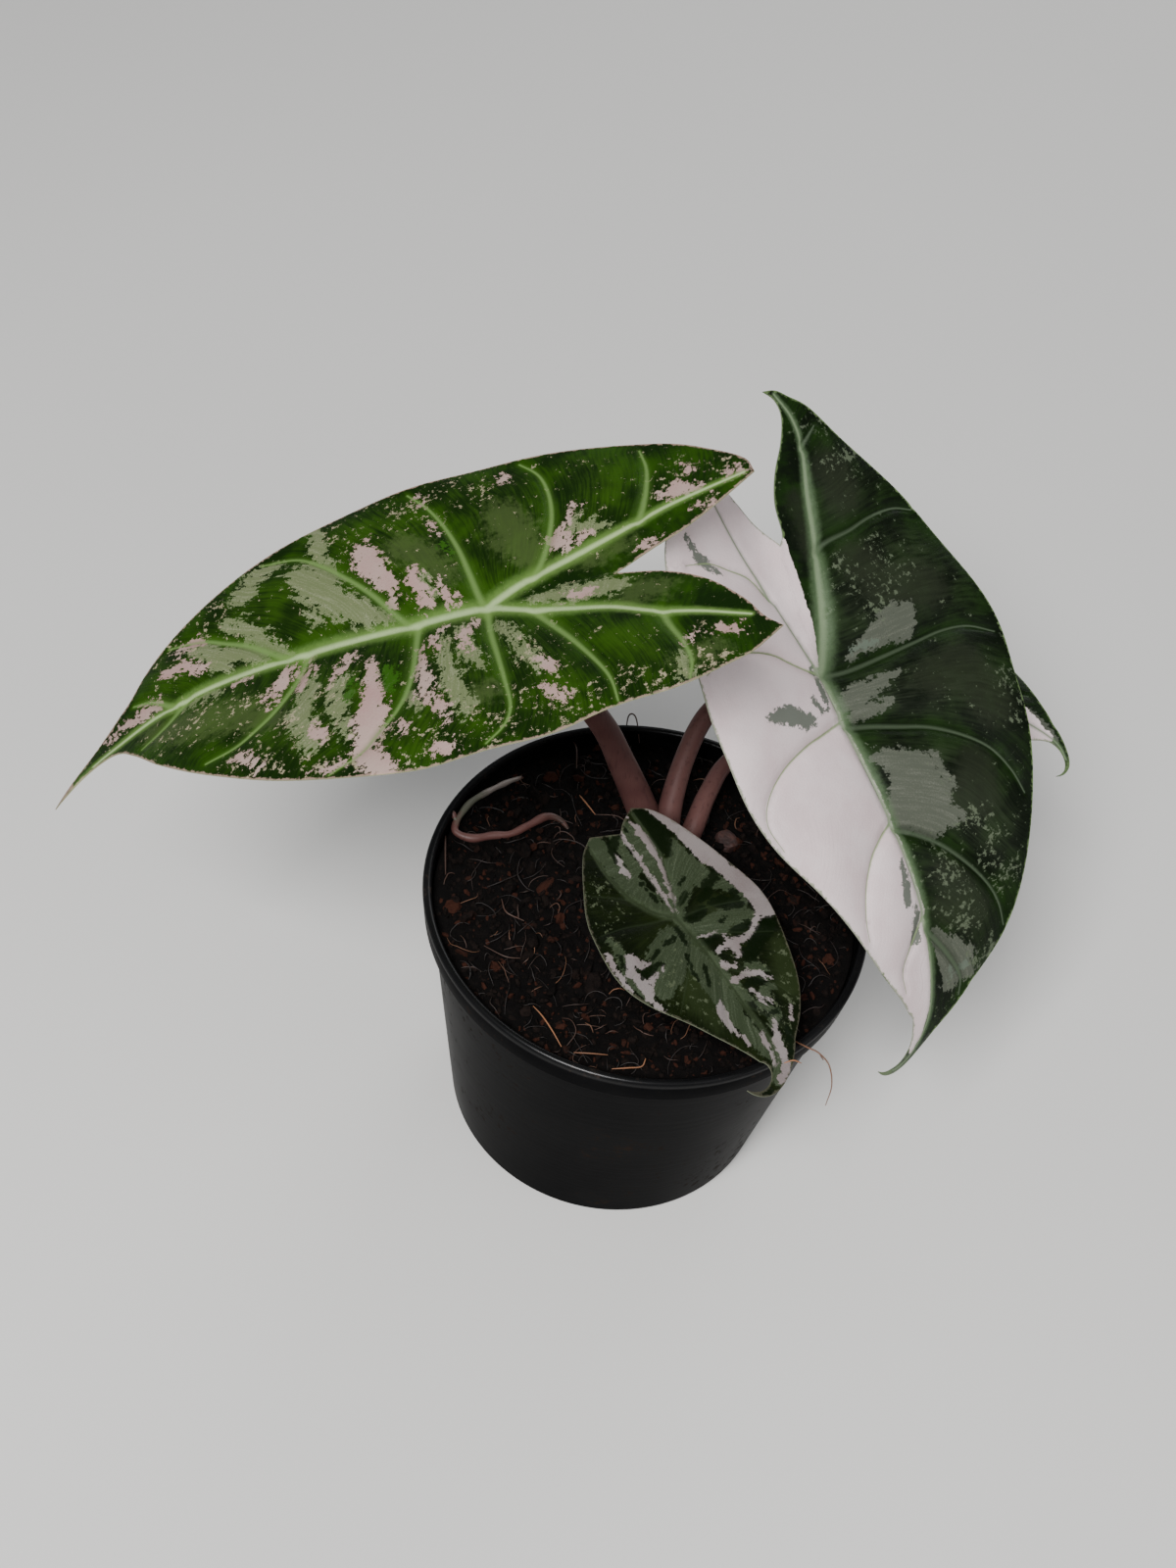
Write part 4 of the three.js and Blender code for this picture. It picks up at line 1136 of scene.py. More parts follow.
def leaf_finish(name, tones, under=0.0):
    """The finish of one face of a blade, from its tones."""
    f = Finish(name)
    plan = f.attribute("plan", "Vector")
    flow = f.attribute("flow", "Vector")
    fine = tones["fine"]
    drawn_out = f.noise(f.scaled(flow, (0.5, 0.22, 1)), fine, 6, 0.7) - 0.5
    crumbled = f.noise(plan, 0.6 * fine, 6, 0.74) - 0.5
    torn = (drawn_out + crumbled) * tones["torn"]
    strands = f.noise(f.scaled(flow, (1.5, 0.12, 1)), 1.0, 4, 0.62)
    cloud = f.noise(plan, 0.075, 3)
    dust = f.noise(plan, 2.4, 4, 0.7)

    main = f.attribute("main")
    side = f.attribute("side")
    near_vein = (1 - f.step(main, 1, 6)) * 0.6 + (1 - f.step(side, 1, 7)) * 0.4
    patchy = cloud * 0.7 + strands * 0.3 + near_vein * 0.12
    green = f.mix(tones["deep"], tones["green"], f.step(patchy, 0.42, 0.66))
    # painted sheen: a lighter tone on the bulges between the side veins stands in for a soft highlight
    painted_sheen = f.attribute("quilt") * f.step(strands * 0.6 + cloud * 0.4, 0.35, 0.7) * tones["painted_sheen_share"]
    colour = f.mix(green, tones["painted_sheen"], painted_sheen)
    # greyish patches with soft edges: partly grey tissue, partly a painted sheen
    colour = f.mix(colour, tones["dim_and_sheen"], f.step(f.attribute("dim_and_sheen") + torn, -2.5, 2.5) * tones["dim_and_sheen_share"])
    sage = f.mix(tones["sage"], tones["sage_light"], f.step(dust * 0.5 + strands * 0.5, 0.46, 0.72))
    colour = f.mix(colour, sage, f.step(f.attribute("sage") + torn, -0.12, 0.16))
    near = f.step(f.attribute("fleck"), -5, 2) * tones["fleck_near"]
    clusters = f.noise(plan, 0.17, 2) * 0.35
    crumbs = f.step(f.noise(plan, 0.55 * fine, 6, 0.76) + clusters + near, 0.815, 0.84)
    colour = f.mix(colour, tones["fleck"], crumbs * 0.85)
    blush = f.mix(tones["pale"], tones["blush"], f.step(cloud * 0.6 + dust * 0.4, 0.4, 0.62))
    pale = f.step(f.attribute("pale") + torn * tones["pale_torn"], -0.1, 0.12)
    colour = f.mix(colour, blush, pale)
    colour = f.mix(colour, tones["spot"], f.step(f.attribute("spot") + torn * 0.8, -0.15, 0.2) * 0.92)

    kept = 1 - pale * tones["vein_lost"]
    soft_side = (1 - f.step(side + crumbled * 2.0, 0.3, 3.2)) * tones["side_share"]
    colour = f.mix(colour, tones["side"], soft_side * kept)
    colour = f.mix(colour, tones["side_core"], (1 - f.step(side, 0.1, 1.35)) * tones["core_share"] * kept)
    thread = (1 - f.step(side + crumbled * 0.6, 0.1, 0.8)) * pale * tones["thread_share"]
    colour = f.mix(colour, tones["thread"], thread)
    halo = (1 - f.step(main + crumbled * 3.0, 0.4, 4.6)) * tones["main_share"]
    colour = f.mix(colour, tones["main"], halo * (1 - pale * tones["main_lost"]))
    colour = f.mix(colour, tones["main_core"], (1 - f.step(main, 0.2, 1.6)) * tones["main_share"])
    edge = 1 - f.step(f.attribute("margin") + crumbled * 3.0, 0.1, 0.5)
    colour = f.mix(colour, tones["edge"], edge * tones["edge_share"])
    colour = f.mix(colour, tones["under"], under)

    relief = strands * 0.5 + f.noise(plan, 1.3, 4, 0.6) * 0.35 + dust * 0.15
    normal = f.bump(relief, 0.4 * MM, 0.5)
    rough = f.step(cloud, 0.2, 0.8) * 0.1 + (tones["rough"] + 0.2 * under)
    sockets = {"Base Color": colour, "Roughness": rough + pale * 0.08, "Normal": normal}
    return f.done({**sockets, "Specular IOR Level": LEAF_SPECULAR})


print("specular level of the leaves:", LEAF_SPECULAR)

# %% [markdown]
# ## Tones of the leaves
#
# Each leaf has a table of tones and shares, so that it can be repainted without touching
# the finish. The colours are linear, so their numbers look low. Every tone of the front
# leaf is darker than its own colour, as painted shade from the large leaves above it.

# %% Tones
# In each table the sheen tone is a painted sheen, and the dim tone is partly painted sheen.
LEFT_TONES = {
    "deep": (0.003, 0.012, 0.0003), "green": (0.014, 0.046, 0.001), "painted_sheen": (0.034, 0.076, 0.007),
    "painted_sheen_share": 0.45, "dim_and_sheen": (0.05, 0.078, 0.022), "dim_and_sheen_share": 0.6, "sage": (0.110, 0.135, 0.062),
    "sage_light": (0.235, 0.245, 0.158), "fleck": (0.30, 0.26, 0.17), "fleck_near": 0.06,
    "pale": (0.33, 0.245, 0.212), "blush": (0.30, 0.188, 0.175), "spot": (0.02, 0.07, 0.004),
    "main": (0.12, 0.21, 0.05), "main_core": (0.36, 0.47, 0.23), "main_share": 0.76, "main_lost": 0.3,
    "side": (0.045, 0.10, 0.012), "side_core": (0.12, 0.20, 0.06), "side_share": 0.5, "core_share": 0.8,
    "thread": (0.2, 0.3, 0.1), "edge": (0.40, 0.27, 0.22), "under": (0.20, 0.28, 0.12), "fine": 1.0,
    "torn": 13.0, "pale_torn": 0.95, "vein_lost": 0.35, "thread_share": 0.0, "edge_share": 0.6,
    "rough": 0.34,
}
HALF_MOON_TONES = {
    "deep": (0.0016, 0.004, 0.0008), "green": (0.006, 0.021, 0.0014), "painted_sheen": (0.023, 0.028, 0.017),
    "painted_sheen_share": 0.85, "dim_and_sheen": (0.016, 0.020, 0.011), "dim_and_sheen_share": 0.6, "sage": (0.060, 0.067, 0.050),
    "sage_light": (0.115, 0.12, 0.095), "fleck": (0.078, 0.096, 0.06), "fleck_near": 0.085,
    "pale": (0.66, 0.56, 0.56), "blush": (0.60, 0.485, 0.49), "spot": (0.085, 0.105, 0.08),
    "main": (0.075, 0.115, 0.058), "main_core": (0.15, 0.20, 0.115), "main_share": 0.85,
    "main_lost": 0.55, "side": (0.006, 0.012, 0.004), "side_core": (0.055, 0.075, 0.045),
    "side_share": 0.6, "core_share": 0.85, "thread": (0.21, 0.27, 0.13), "edge": (0.12, 0.18, 0.07),
    "under": (0.22, 0.24, 0.19), "fine": 1.1, "torn": 6.5, "pale_torn": 0.25, "vein_lost": 0.95,
    "thread_share": 0.9, "edge_share": 0.7, "rough": 0.33,
}
# painted shade: every tone of the front leaf is darkened for the shade of the leaves above
FRONT_TONES_WITH_PAINTED_SHADE = {
    "deep": (0.0016, 0.0036, 0.0003), "green": (0.006, 0.011, 0.001), "painted_sheen": (0.014, 0.022, 0.006),
    "painted_sheen_share": 0.4, "dim_and_sheen": (0.017, 0.026, 0.008), "dim_and_sheen_share": 0.7, "sage": (0.026, 0.036, 0.018),
    "sage_light": (0.078, 0.093, 0.060), "fleck": (0.07, 0.085, 0.048), "fleck_near": 0.06,
    "pale": (0.20, 0.175, 0.17), "blush": (0.16, 0.13, 0.127), "spot": (0.0016, 0.005, 0.0004),
    "main": (0.048, 0.065, 0.034), "main_core": (0.014, 0.021, 0.008), "main_share": 0.5,
    "main_lost": 0.7, "side": (0.008, 0.015, 0.004), "side_core": (0.04, 0.055, 0.03),
    "side_share": 0.1, "core_share": 0.18, "thread": (0.15, 0.16, 0.11), "edge": (0.085, 0.08, 0.055),
    "under": (0.20, 0.23, 0.15), "fine": 0.95, "torn": 4.6, "pale_torn": 0.8, "vein_lost": 0.7,
    "thread_share": 0.3, "edge_share": 0.5, "rough": 0.38,
}
BACK_TONES = {**HALF_MOON_TONES, "fine": 1.5, "torn": 4.0, "pale_torn": 0.6}
TONES = [LEFT_TONES, HALF_MOON_TONES, FRONT_TONES_WITH_PAINTED_SHADE, BACK_TONES]
UNDER_SHARE = 0.45
print("entries in a table of tones:", len(LEFT_TONES))

# %% [markdown]
# Each blade has a slot name, and its two finishes, top and underside, are named after it.

# %% Make the blades
SLOTS = ["leaf_green_pink", "leaf_half_moon", "leaf_marbled", "leaf_dark"]


def settle(name, mesh, slot, *nodes):
    """Puts a finished mesh in the scene on the plant's one body."""
    piece = bpy.data.objects.new(name, mesh)
    bpy.context.scene.collection.objects.link(piece)
    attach(piece, "root")
    if nodes:
        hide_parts(*nodes)
    print(name, "has", len(mesh.polygons), "faces")
    return piece


for leaf, tones, slot in zip(LEAVES, TONES, SLOTS):
    top_finish = leaf_finish(slot + "_top", tones)
    under_finish = leaf_finish(slot + "_under", tones, UNDER_SHARE)
    blade = make_blade(leaf, top_finish, under_finish)
    settle(leaf["node"] + "_skin", blade, slot, leaf["node"])

# %% [markdown]
# ## Geometry Nodes from a script
#
# A Geometry Nodes tree can be wired by hand, but in a script it can be read and changed
# as text. A recipe is such a tree with named inputs. It is grown on a small seedling
# mesh, and its result is kept.

# %% Recipes
class Recipe(Bench):
    """A Geometry Nodes tree with named inputs."""

    def __init__(self, name, inputs):
        super().__init__(bpy.data.node_groups.new(name, "GeometryNodeTree"))
        sockets = {"Geometry": "NodeSocketGeometry", **inputs}
        for label, kind in sockets.items():
            self.tree.interface.new_socket(label, in_out="INPUT", socket_type=kind)
        self.tree.interface.new_socket("Geometry", in_out="OUTPUT", socket_type="NodeSocketGeometry")
        self.given = self.tree.nodes.new("NodeGroupInput")

    def input(self, label):
        return Link(self, next(s for s in self.given.outputs if s.name == label))

    def finish(self, shape, material):
        whole = self.node("GeometryNodeRealizeInstances", {"Geometry": shape})
        dressed = self.node("GeometryNodeSetMaterial", {"Geometry": whole, "Material": material})
        self.node("NodeGroupOutput", {0: dressed})
        return self.tree


def grow(tree, seedling, values, name):
    """Runs a tree on a mesh and gives the result as a plain mesh."""
    holder = bpy.data.objects.new(name + "_holder", seedling)
    bpy.context.scene.collection.objects.link(holder)
    modifier = holder.modifiers.new("grow", "NODES")
    modifier.node_group = tree
    for item in tree.interface.items_tree:
        if item.in_out == "INPUT" and item.name in values:
            modifier[item.identifier] = values[item.name]
    evaluated = holder.evaluated_get(bpy.context.evaluated_depsgraph_get())
    mesh = bpy.data.meshes.new_from_object(evaluated)
    mesh.name = name
    bpy.data.objects.remove(holder)
    return mesh


print("steps of a recipe:", [name for name in vars(Recipe) if name[0] != "_"])

# %% [markdown]
# ## Geometry Nodes for what follows a path
#
# Stalks, the surface root and the loose fibres are all round and follow a line, so one
# node tree makes them all: it turns a chain of edges into a curve, sweeps a circle along
# it and scales the circle by a thickness that each point carries. A bevelled curve object
# would do the same, but the tree keeps the other values on the points, such as how far
# along a root one is, for the material.


# %% Sweep tree
def sweep_tree():
    """A tree that sweeps a circle along every chain of edges."""
    r = Recipe("sweep", {"Sides": "NodeSocketInt", "Finish": "NodeSocketMaterial"})
    curve = r.node("GeometryNodeMeshToCurve", {"Mesh": r.input("Geometry")})
    circle = r.node("GeometryNodeCurvePrimitiveCircle", {"Resolution": r.input("Sides"), "Radius": 1.0})
    thickness = r.node("GeometryNodeInputNamedAttribute", {"Name": "thickness"}, data_type="FLOAT")
    sockets = {"Curve": curve, "Profile Curve": circle, "Scale": thickness, "Fill Caps": True}
    swept = r.node("GeometryNodeCurveToMesh", sockets)
    return r.finish(r.node("GeometryNodeSetShadeSmooth", {"Geometry": swept}), r.input("Finish"))


SWEEP = sweep_tree()


def chain_mesh(chains):
    """Lines as a mesh of edges. A chain is (points in mm, radii in mm, tint)."""
    mesh = bpy.data.meshes.new("chains")
    corners = []
    edges = []
    radii = []
    shares = []
    tints = []
    for points, widths, tint in chains:
        first = len(corners)
        corners += (np.asarray(points) * MM).tolist()
        edges += [(first + i, first + i + 1) for i in range(len(points) - 1)]
        radii += (np.asarray(widths) * MM).tolist()
        shares += np.linspace(0, 1, len(points)).tolist()
        tints += [tint] * len(points)
    mesh.from_pydata(corners, edges, [])
    keep_field(mesh, "thickness", radii)
    keep_field(mesh, "share", shares)
    keep_field(mesh, "tint", tints)
    return mesh


def outward(mesh):
    """Points every face of a closed mesh outwards."""
    shape = bmesh.new()
    shape.from_mesh(mesh)
    bmesh.ops.recalc_face_normals(shape, faces=shape.faces)
    if shape.calc_volume(signed=True) < 0:
        bmesh.ops.reverse_faces(shape, faces=shape.faces)
    shape.to_mesh(mesh)
    shape.free()
    return mesh


print("sweep tree has", len(SWEEP.nodes), "nodes")

# %% [markdown]
# ## The stalks
#
# Each stalk is thickest where its sheath clasps the crown and slims down to the blade,
# which it meets square, under the midrib. A few points on its way, three radii and the
# length of its straight neck are enough to draw it.

# %% Routes of the stalks
STALKS = {
    "stalk_left": {
        "leaf": LEFT_LEAF,
        "route": [
            (3, 16.5, 84), (-5.4, 21.2, 98.5), (-12.9, 23.3, 112.5), (-20.8, 22.1, 129), (-35, 15, 153),
        ],
        "radii": (4.9, 3.5, 2.3),
        "neck": 7,
    },
    "stalk_half_moon": {
        "leaf": HALF_MOON_LEAF,
        "route": [(4, 16, 84), (2, 21.8, 98), (3.6, 33.6, 109.5), (7.8, 41.4, 120), (17, 44.5, 128.5)],
        "radii": (3.9, 2.8, 2.2),
        "neck": 8,
    },
    "stalk_back": {
        "leaf": BACK_LEAF,
        "route": [
            (5.5, 16, 84), (8.9, 20.2, 93.5), (11.6, 31, 98.2), (16.4, 42.8, 100.5), (32, 61, 104.5),
            (49, 73.5, 107),
        ],
        "radii": (3.3, 2.3, 1.8),
        "neck": 4,
    },
    "stalk_front": {
        "leaf": FRONT_LEAF,
        "route": [(4, 13.5, 84), (4.6, 6, 93), (5.4, -6, 99.5)],
        "radii": (3.2, 2.3, 1.8),
        "neck": 5,
    },
}
print("stalks:", list(STALKS))

# %% [markdown]
# ## The skin of the stalks
#
# The skin is a dusty pinkish brown with fine darker streaks, darkened all over as painted
# shade for the shade under the leaves. Noise drawn out upwards, the way the stalks mostly
# run, makes the streaks without an image.

# %% Stalk skin
STALK_SPECULAR = 0.15


def stalk_finish_with_painted_shade():
    """Dusty pinkish brown skin with streaks along the stalk, darkened as painted shade."""
    f = Finish("stalk_skin")
    place = f.place()
    streaks = f.noise(f.scaled(place, (900, 900, 120)), 1.0, 4, 0.6)
    cloud = f.noise(place, 45, 3)
    # painted shade: both skin tones are darker than the stalk's own colour
    colour = f.mix((0.068, 0.028, 0.026), (0.10, 0.047, 0.042), f.step(cloud, 0.35, 0.65))
    colour = f.mix(colour, (0.036, 0.014, 0.014), f.step(streaks, 0.52, 0.72) * 0.55)
    colour = f.mix(colour, (0.14, 0.09, 0.055), f.step(f.attribute("share"), 0.93, 1.0) * 0.6)
    colour = f.mix(colour, (0.05, 0.022, 0.015), (1 - f.step(f.attribute("share"), 0.0, 0.2)) * 0.5)
    normal = f.bump(streaks, 0.25 * MM, 0.5)
    rough = f.step(cloud, 0.2, 0.8) * 0.12 + 0.46
    sockets = {"Base Color": colour, "Roughness": rough, "Normal": normal}
    return f.done({**sockets, "Specular IOR Level": STALK_SPECULAR})


STALK_FINISH_WITH_PAINTED_SHADE = stalk_finish_with_painted_shade()
print("stalk skin has", len(STALK_FINISH_WITH_PAINTED_SHADE.node_tree.nodes), "nodes")

# %% [markdown]
# ## Growing the stalks
#
# Each route is carried on to its blade's joint, square to the blade, and swept. The radius
# falls fast along the sheath and slowly above it.

# %% Stalks
SHEATH_SHARE = 0.35
STALK_SEAT = 1.5
NECK_SEAT = 2.3
STALK_SAMPLES = 24
STALK_STEP = 1.3
STALK_SIDES = 28


def stalk_line(stalk):
    """The stalk's line, with the last stretch square to its blade."""
    up = np.array(blade_turn(stalk["leaf"]) @ Vector((0, 0, 1)))
    joint = np.array(stalk["leaf"]["place"])
    end = joint - STALK_SEAT * up
    neck = joint - (NECK_SEAT + stalk["neck"]) * up
    return even_line(smooth_line([*stalk["route"], neck, end], STALK_SAMPLES), STALK_STEP)


def stalk_radii(stalk, count):
    """Radii along the stalk, which slims fast up its sheath and slowly up its shaft."""
    share = np.linspace(0, 1, count)
    base, middle, end = stalk["radii"]
    sheath = np.minimum(1, share / SHEATH_SHARE)
    shaft = np.maximum(0, (share - SHEATH_SHARE) / (1 - SHEATH_SHARE))
    return base + (middle - base) * sheath + (end - middle) * shaft


for name, stalk in STALKS.items():
    line = stalk_line(stalk)
    chain = chain_mesh([(line, stalk_radii(stalk, len(line)), 0.5)])
    skin = grow(SWEEP, chain, {"Sides": STALK_SIDES, "Finish": STALK_FINISH_WITH_PAINTED_SHADE}, name + "_skin")
    settle(name + "_skin", outward(skin), "stalk_skin", name)

# %% [markdown]
# ## The pot
#
# A nursery pot is one thin moulding, so it is turned from a single closed profile: flat
# foot, drain channel, tapered wall, collar and rolled lip, then back down the inside. The
# tree sweeps that profile round a circle, closes the poles and cuts the drain holes.

# %% Turning tree
def turning_tree():
    """A tree that turns a closed profile about Z and bores holes through its floor."""
    inputs = {
        "Segments": "NodeSocketInt", "Holes": "NodeSocketInt", "Hole Circle": "NodeSocketFloat",
        "Hole Radius": "NodeSocketFloat", "Finish": "NodeSocketMaterial",
    }
    r = Recipe("turn", inputs)
    profile = r.node("GeometryNodeMeshToCurve", {"Mesh": r.input("Geometry")})
    circle = r.node("GeometryNodeCurvePrimitiveCircle", {"Resolution": r.input("Segments"), "Radius": 1e-6})
    turned = r.node("GeometryNodeCurveToMesh", {"Curve": circle, "Profile Curve": profile, "Scale": 1.0})
    closed = r.node("GeometryNodeMergeByDistance", {"Geometry": turned, "Distance": 0.02 * MM})
    ring_sockets = {"Resolution": r.input("Holes"), "Radius": r.input("Hole Circle")}
    ring = r.node("GeometryNodeCurvePrimitiveCircle", ring_sockets)
    drill_sockets = {"Vertices": 40, "Radius": r.input("Hole Radius"), "Depth": 12 * MM}
    drill = r.node("GeometryNodeMeshCylinder", drill_sockets)
    drills = r.node("GeometryNodeInstanceOnPoints", {"Points": ring, "Instance": drill})
    solid = r.node("GeometryNodeRealizeInstances", {"Geometry": drills})
    cut = {"Mesh 1": closed, "Mesh 2": solid}
    bored = r.node("GeometryNodeMeshBoolean", cut, operation="DIFFERENCE", solver="EXACT")
    return r.finish(bored, r.input("Finish"))


TURN = turning_tree()
print("turning tree has", len(TURN.nodes), "nodes")

# %% [markdown]
# ## The pot's section
#
# The section runs from the middle of the underside up the outside, round the lip and down
# the inside. A moulded edge is never sharp, so small arcs round its corners.

# %% Pot profile
POT_RIM_RADIUS = 60.0
POT_HEIGHT = 90.0
POT_FOOT_RADIUS = 46.0
POT_WALL = 1.3
COLLAR_HEIGHT = 9.0
COLLAR_STEP = 2.2
COLLAR_DRAFT = 0.8
LIP_WIDTH = 2.5
POT_FLOOR = 1.8
DRAIN_RISE = 2.2
DRAIN_INNER = 20.0
DRAIN_OUTER = 36.0
DRAIN_SLOPE = 1.5
DRAIN_HOLES = 8
DRAIN_HOLE_RADIUS = 3.5
FOOT_ROUNDING = 1.6
STEP_ROUNDING = 0.6
COLLAR_ROUNDING = 0.7


def arc(centre, radius, start, end, count):
    """Points of a round corner in a profile; angles in degrees."""
    angles = np.radians(np.linspace(start, end, count))
    return [(centre[0] + radius * math.cos(a), centre[1] + radius * math.sin(a)) for a in angles]


def pot_profile():
    """The pot's section as (radius, height) points, up the outside and down the inside."""
    wall_top = POT_HEIGHT - COLLAR_HEIGHT
    wall_top_radius = POT_RIM_RADIUS - COLLAR_STEP - COLLAR_DRAFT
    collar_inside = POT_RIM_RADIUS - LIP_WIDTH
    lip = LIP_WIDTH / 2
    underside = [
        (0, 0), (DRAIN_INNER - DRAIN_SLOPE, 0), (DRAIN_INNER, DRAIN_RISE), (DRAIN_OUTER, DRAIN_RISE),
        (DRAIN_OUTER + DRAIN_SLOPE, 0),
    ]
    foot = arc((POT_FOOT_RADIUS - FOOT_ROUNDING, FOOT_ROUNDING), FOOT_ROUNDING, -90, -6, 7)
    ledge = arc((wall_top_radius + 0.7, wall_top - 0.3), STEP_ROUNDING, 170, 90, 4)
    step = [(wall_top_radius - 0.1, wall_top - 0.7), *ledge]
    collar_centre = (POT_RIM_RADIUS - COLLAR_DRAFT - COLLAR_ROUNDING, wall_top + 1.0)
    collar = arc(collar_centre, COLLAR_ROUNDING, -80, 0, 5)
    rolled = arc((POT_RIM_RADIUS - lip, POT_HEIGHT - lip), lip, 4, 176, 15)
    inside = [
        (collar_inside, POT_HEIGHT - 2.4), (collar_inside - 0.3, wall_top + POT_WALL + 0.4),
        (collar_inside - 0.6, wall_top + POT_WALL), (wall_top_radius - POT_WALL, wall_top - 0.5),
    ]
    floor = [
        (POT_FOOT_RADIUS - POT_WALL, POT_FLOOR + 1.2), (POT_FOOT_RADIUS - POT_WALL - 1.2, POT_FLOOR),
        (DRAIN_OUTER + DRAIN_SLOPE, POT_FLOOR), (DRAIN_OUTER, DRAIN_RISE + POT_FLOOR),
        (DRAIN_INNER, DRAIN_RISE + POT_FLOOR), (DRAIN_INNER - DRAIN_SLOPE, POT_FLOOR), (0, POT_FLOOR),
    ]
    return [*underside, *foot, *step, *collar, *rolled, *inside, *floor]


print("pot profile has", len(pot_profile()), "points")

# %% [markdown]
# The plastic is black and satin. Its lip catches the light as a thin line, the wall shows
# the faint rings of the mould, and a little dried mix has dusted it.


# %% Pot
POT_SPECULAR = 0.003
POT_SEGMENTS = 192
POT_SHARP = math.radians(35)
LIP_SHEEN_FROM = 87.6
LIP_SHEEN_TO = 88.6


def pot_finish():
    """Black moulded plastic, slightly glossy, with faint rings and dust."""
    f = Finish("pot_plastic")
    place = f.place()
    rings = f.noise(f.scaled(place, (2, 2, 420)), 1.0, 2)
    grain = f.noise(place, 900, 2)
    cloud = f.noise(place, 35, 4, 0.6)
    dust = f.step(cloud * 0.5 + f.noise(place, 420, 4, 0.7) * 0.7, 0.68, 0.78)
    colour = f.mix((0.003, 0.003, 0.0033), (0.006, 0.006, 0.0062), f.step(cloud, 0.3, 0.7))
    colour = f.mix(colour, (0.04, 0.027, 0.02), dust * 0.4)
    normal = f.bump(rings * 0.7 + grain * 0.3, 0.08 * MM, 0.6)
    rough = dust * 0.3 + cloud * 0.14 + 0.24
    height = f.node("ShaderNodeSeparateXYZ", {0: place}, out="Z")
    lip = f.step(height, LIP_SHEEN_FROM * MM, LIP_SHEEN_TO * MM) * 0.3
    sockets = {"Base Color": colour, "Roughness": rough, "Normal": normal}
    coat = {"Coat Weight": lip, "Coat Roughness": 0.25}
    return f.done({**sockets, **coat, "Specular IOR Level": POT_SPECULAR})


def profile_mesh(profile):
    """A closed profile as a loop of edges, ready to be turned."""
    mesh = bpy.data.meshes.new("profile")
    corners = [(radius * MM, height * MM, 0) for radius, height in profile]
    edges = [(i, (i + 1) % len(corners)) for i in range(len(corners))]
    mesh.from_pydata(corners, edges, [])
    return mesh


def turned_upright(mesh):
    """Stands a turned mesh up, whichever way round the sweep laid it."""
    low = np.min([v.co[:] for v in mesh.vertices], axis=0)
    high = np.max([v.co[:] for v in mesh.vertices], axis=0)
    if abs(low[2]) > abs(high[2]):
        mesh.transform(Matrix.Scale(-1, 4, (0, 0, 1)))
    return outward(mesh)


pot_values = {
    "Segments": POT_SEGMENTS, "Holes": DRAIN_HOLES, "Hole Circle": (DRAIN_INNER + DRAIN_OUTER) / 2 * MM,
    "Hole Radius": DRAIN_HOLE_RADIUS * MM, "Finish": pot_finish(),
}
pot = turned_upright(grow(TURN, profile_mesh(pot_profile()), pot_values, "nursery_pot_skin"))
pot.shade_smooth()
pot.set_sharp_from_angle(angle=POT_SHARP)
heights = [v.co.z for v in pot.vertices]
print("pot spans z", [round(min(heights), 4), round(max(heights), 4)])
settle("nursery_pot_skin", pot, "pot_plastic", "nursery_pot")

# %% [markdown]
# ## The potting mix
#
# The mix is almost black coco and peat, and its tones are darker still as painted shade.
# Its top is a lumpy disc with the frame's own lumps: the same random numbers, drawn in the
# same order, give the same hills. Loose crumbs, chips and fibres are then scattered on it.

# %% Lumps of the mix
SOIL_LEVEL = 84.8
SOIL_MOUND = 1.0
SOIL_MOUND_SPREAD = 18.0
SOIL_LUMPS = 150
SOIL_SEED = 12
CROWN_PLACE = (4.0, 15.5)
WORD = 0xFFFFFFFF


def frame_random(seed):
    """The frame's random numbers between 0 and 1."""
    state = seed
    while True:
        state = (state + 0x6D2B79F5) & WORD
        mixed = ((state ^ (state >> 15)) * (1 | state)) & WORD
        mixed = ((mixed + (((mixed ^ (mixed >> 7)) * (61 | mixed)) & WORD)) & WORD) ^ mixed
        yield ((mixed ^ (mixed >> 14)) & WORD) / 2**32


def soil_lumps():
    """The lumps of the mix as (x, y, spread, height)."""
    draw = frame_random(SOIL_SEED)
    lumps = []
    for _ in range(SOIL_LUMPS):
        angle = 2 * math.pi * next(draw)
        distance = POT_RIM_RADIUS * math.sqrt(next(draw))
        spread = 2.2 + 3 * next(draw)
        height = -0.7 + 1.7 * next(draw)
        lumps.append((distance * math.cos(angle), distance * math.sin(angle), spread, height))
    return lumps


LUMPS = soil_lumps()


def soil_height(x, y):
    """Height of the mix at places in millimetres, before the fine crumb."""
    x = np.asarray(x, float)
    y = np.asarray(y, float)
    from_crown = np.hypot(x - CROWN_PLACE[0], y - CROWN_PLACE[1])
    height = SOIL_LEVEL + SOIL_MOUND * np.exp(-((from_crown / SOIL_MOUND_SPREAD) ** 2))
    for lump_x, lump_y, spread, rise in LUMPS:
        height = height + rise * np.exp(-((x - lump_x) ** 2 + (y - lump_y) ** 2) / spread**2)
    return height


print("top of the mix, in the middle:", round(float(soil_height(0, 0)), 1), "mm")

# %% [markdown]
# ## The body of the mix
#
# Rings of points carry the lumps and a finer crumble, and a skirt goes down inside the
# wall to a flat bottom. A square grid would have to be cut to the round wall. The mix's
# finish serves the crumbs too.

# %% Mix surface
SOIL_RINGS = 105
SOIL_SPOKES = 270
SOIL_CLEAR = 0.3
COLLAR_CLEAR = 0.6
COARSE_CRUMBLE = 0.75
FINE_CRUMBLE = 0.5
MIX_SPECULAR = 0.1


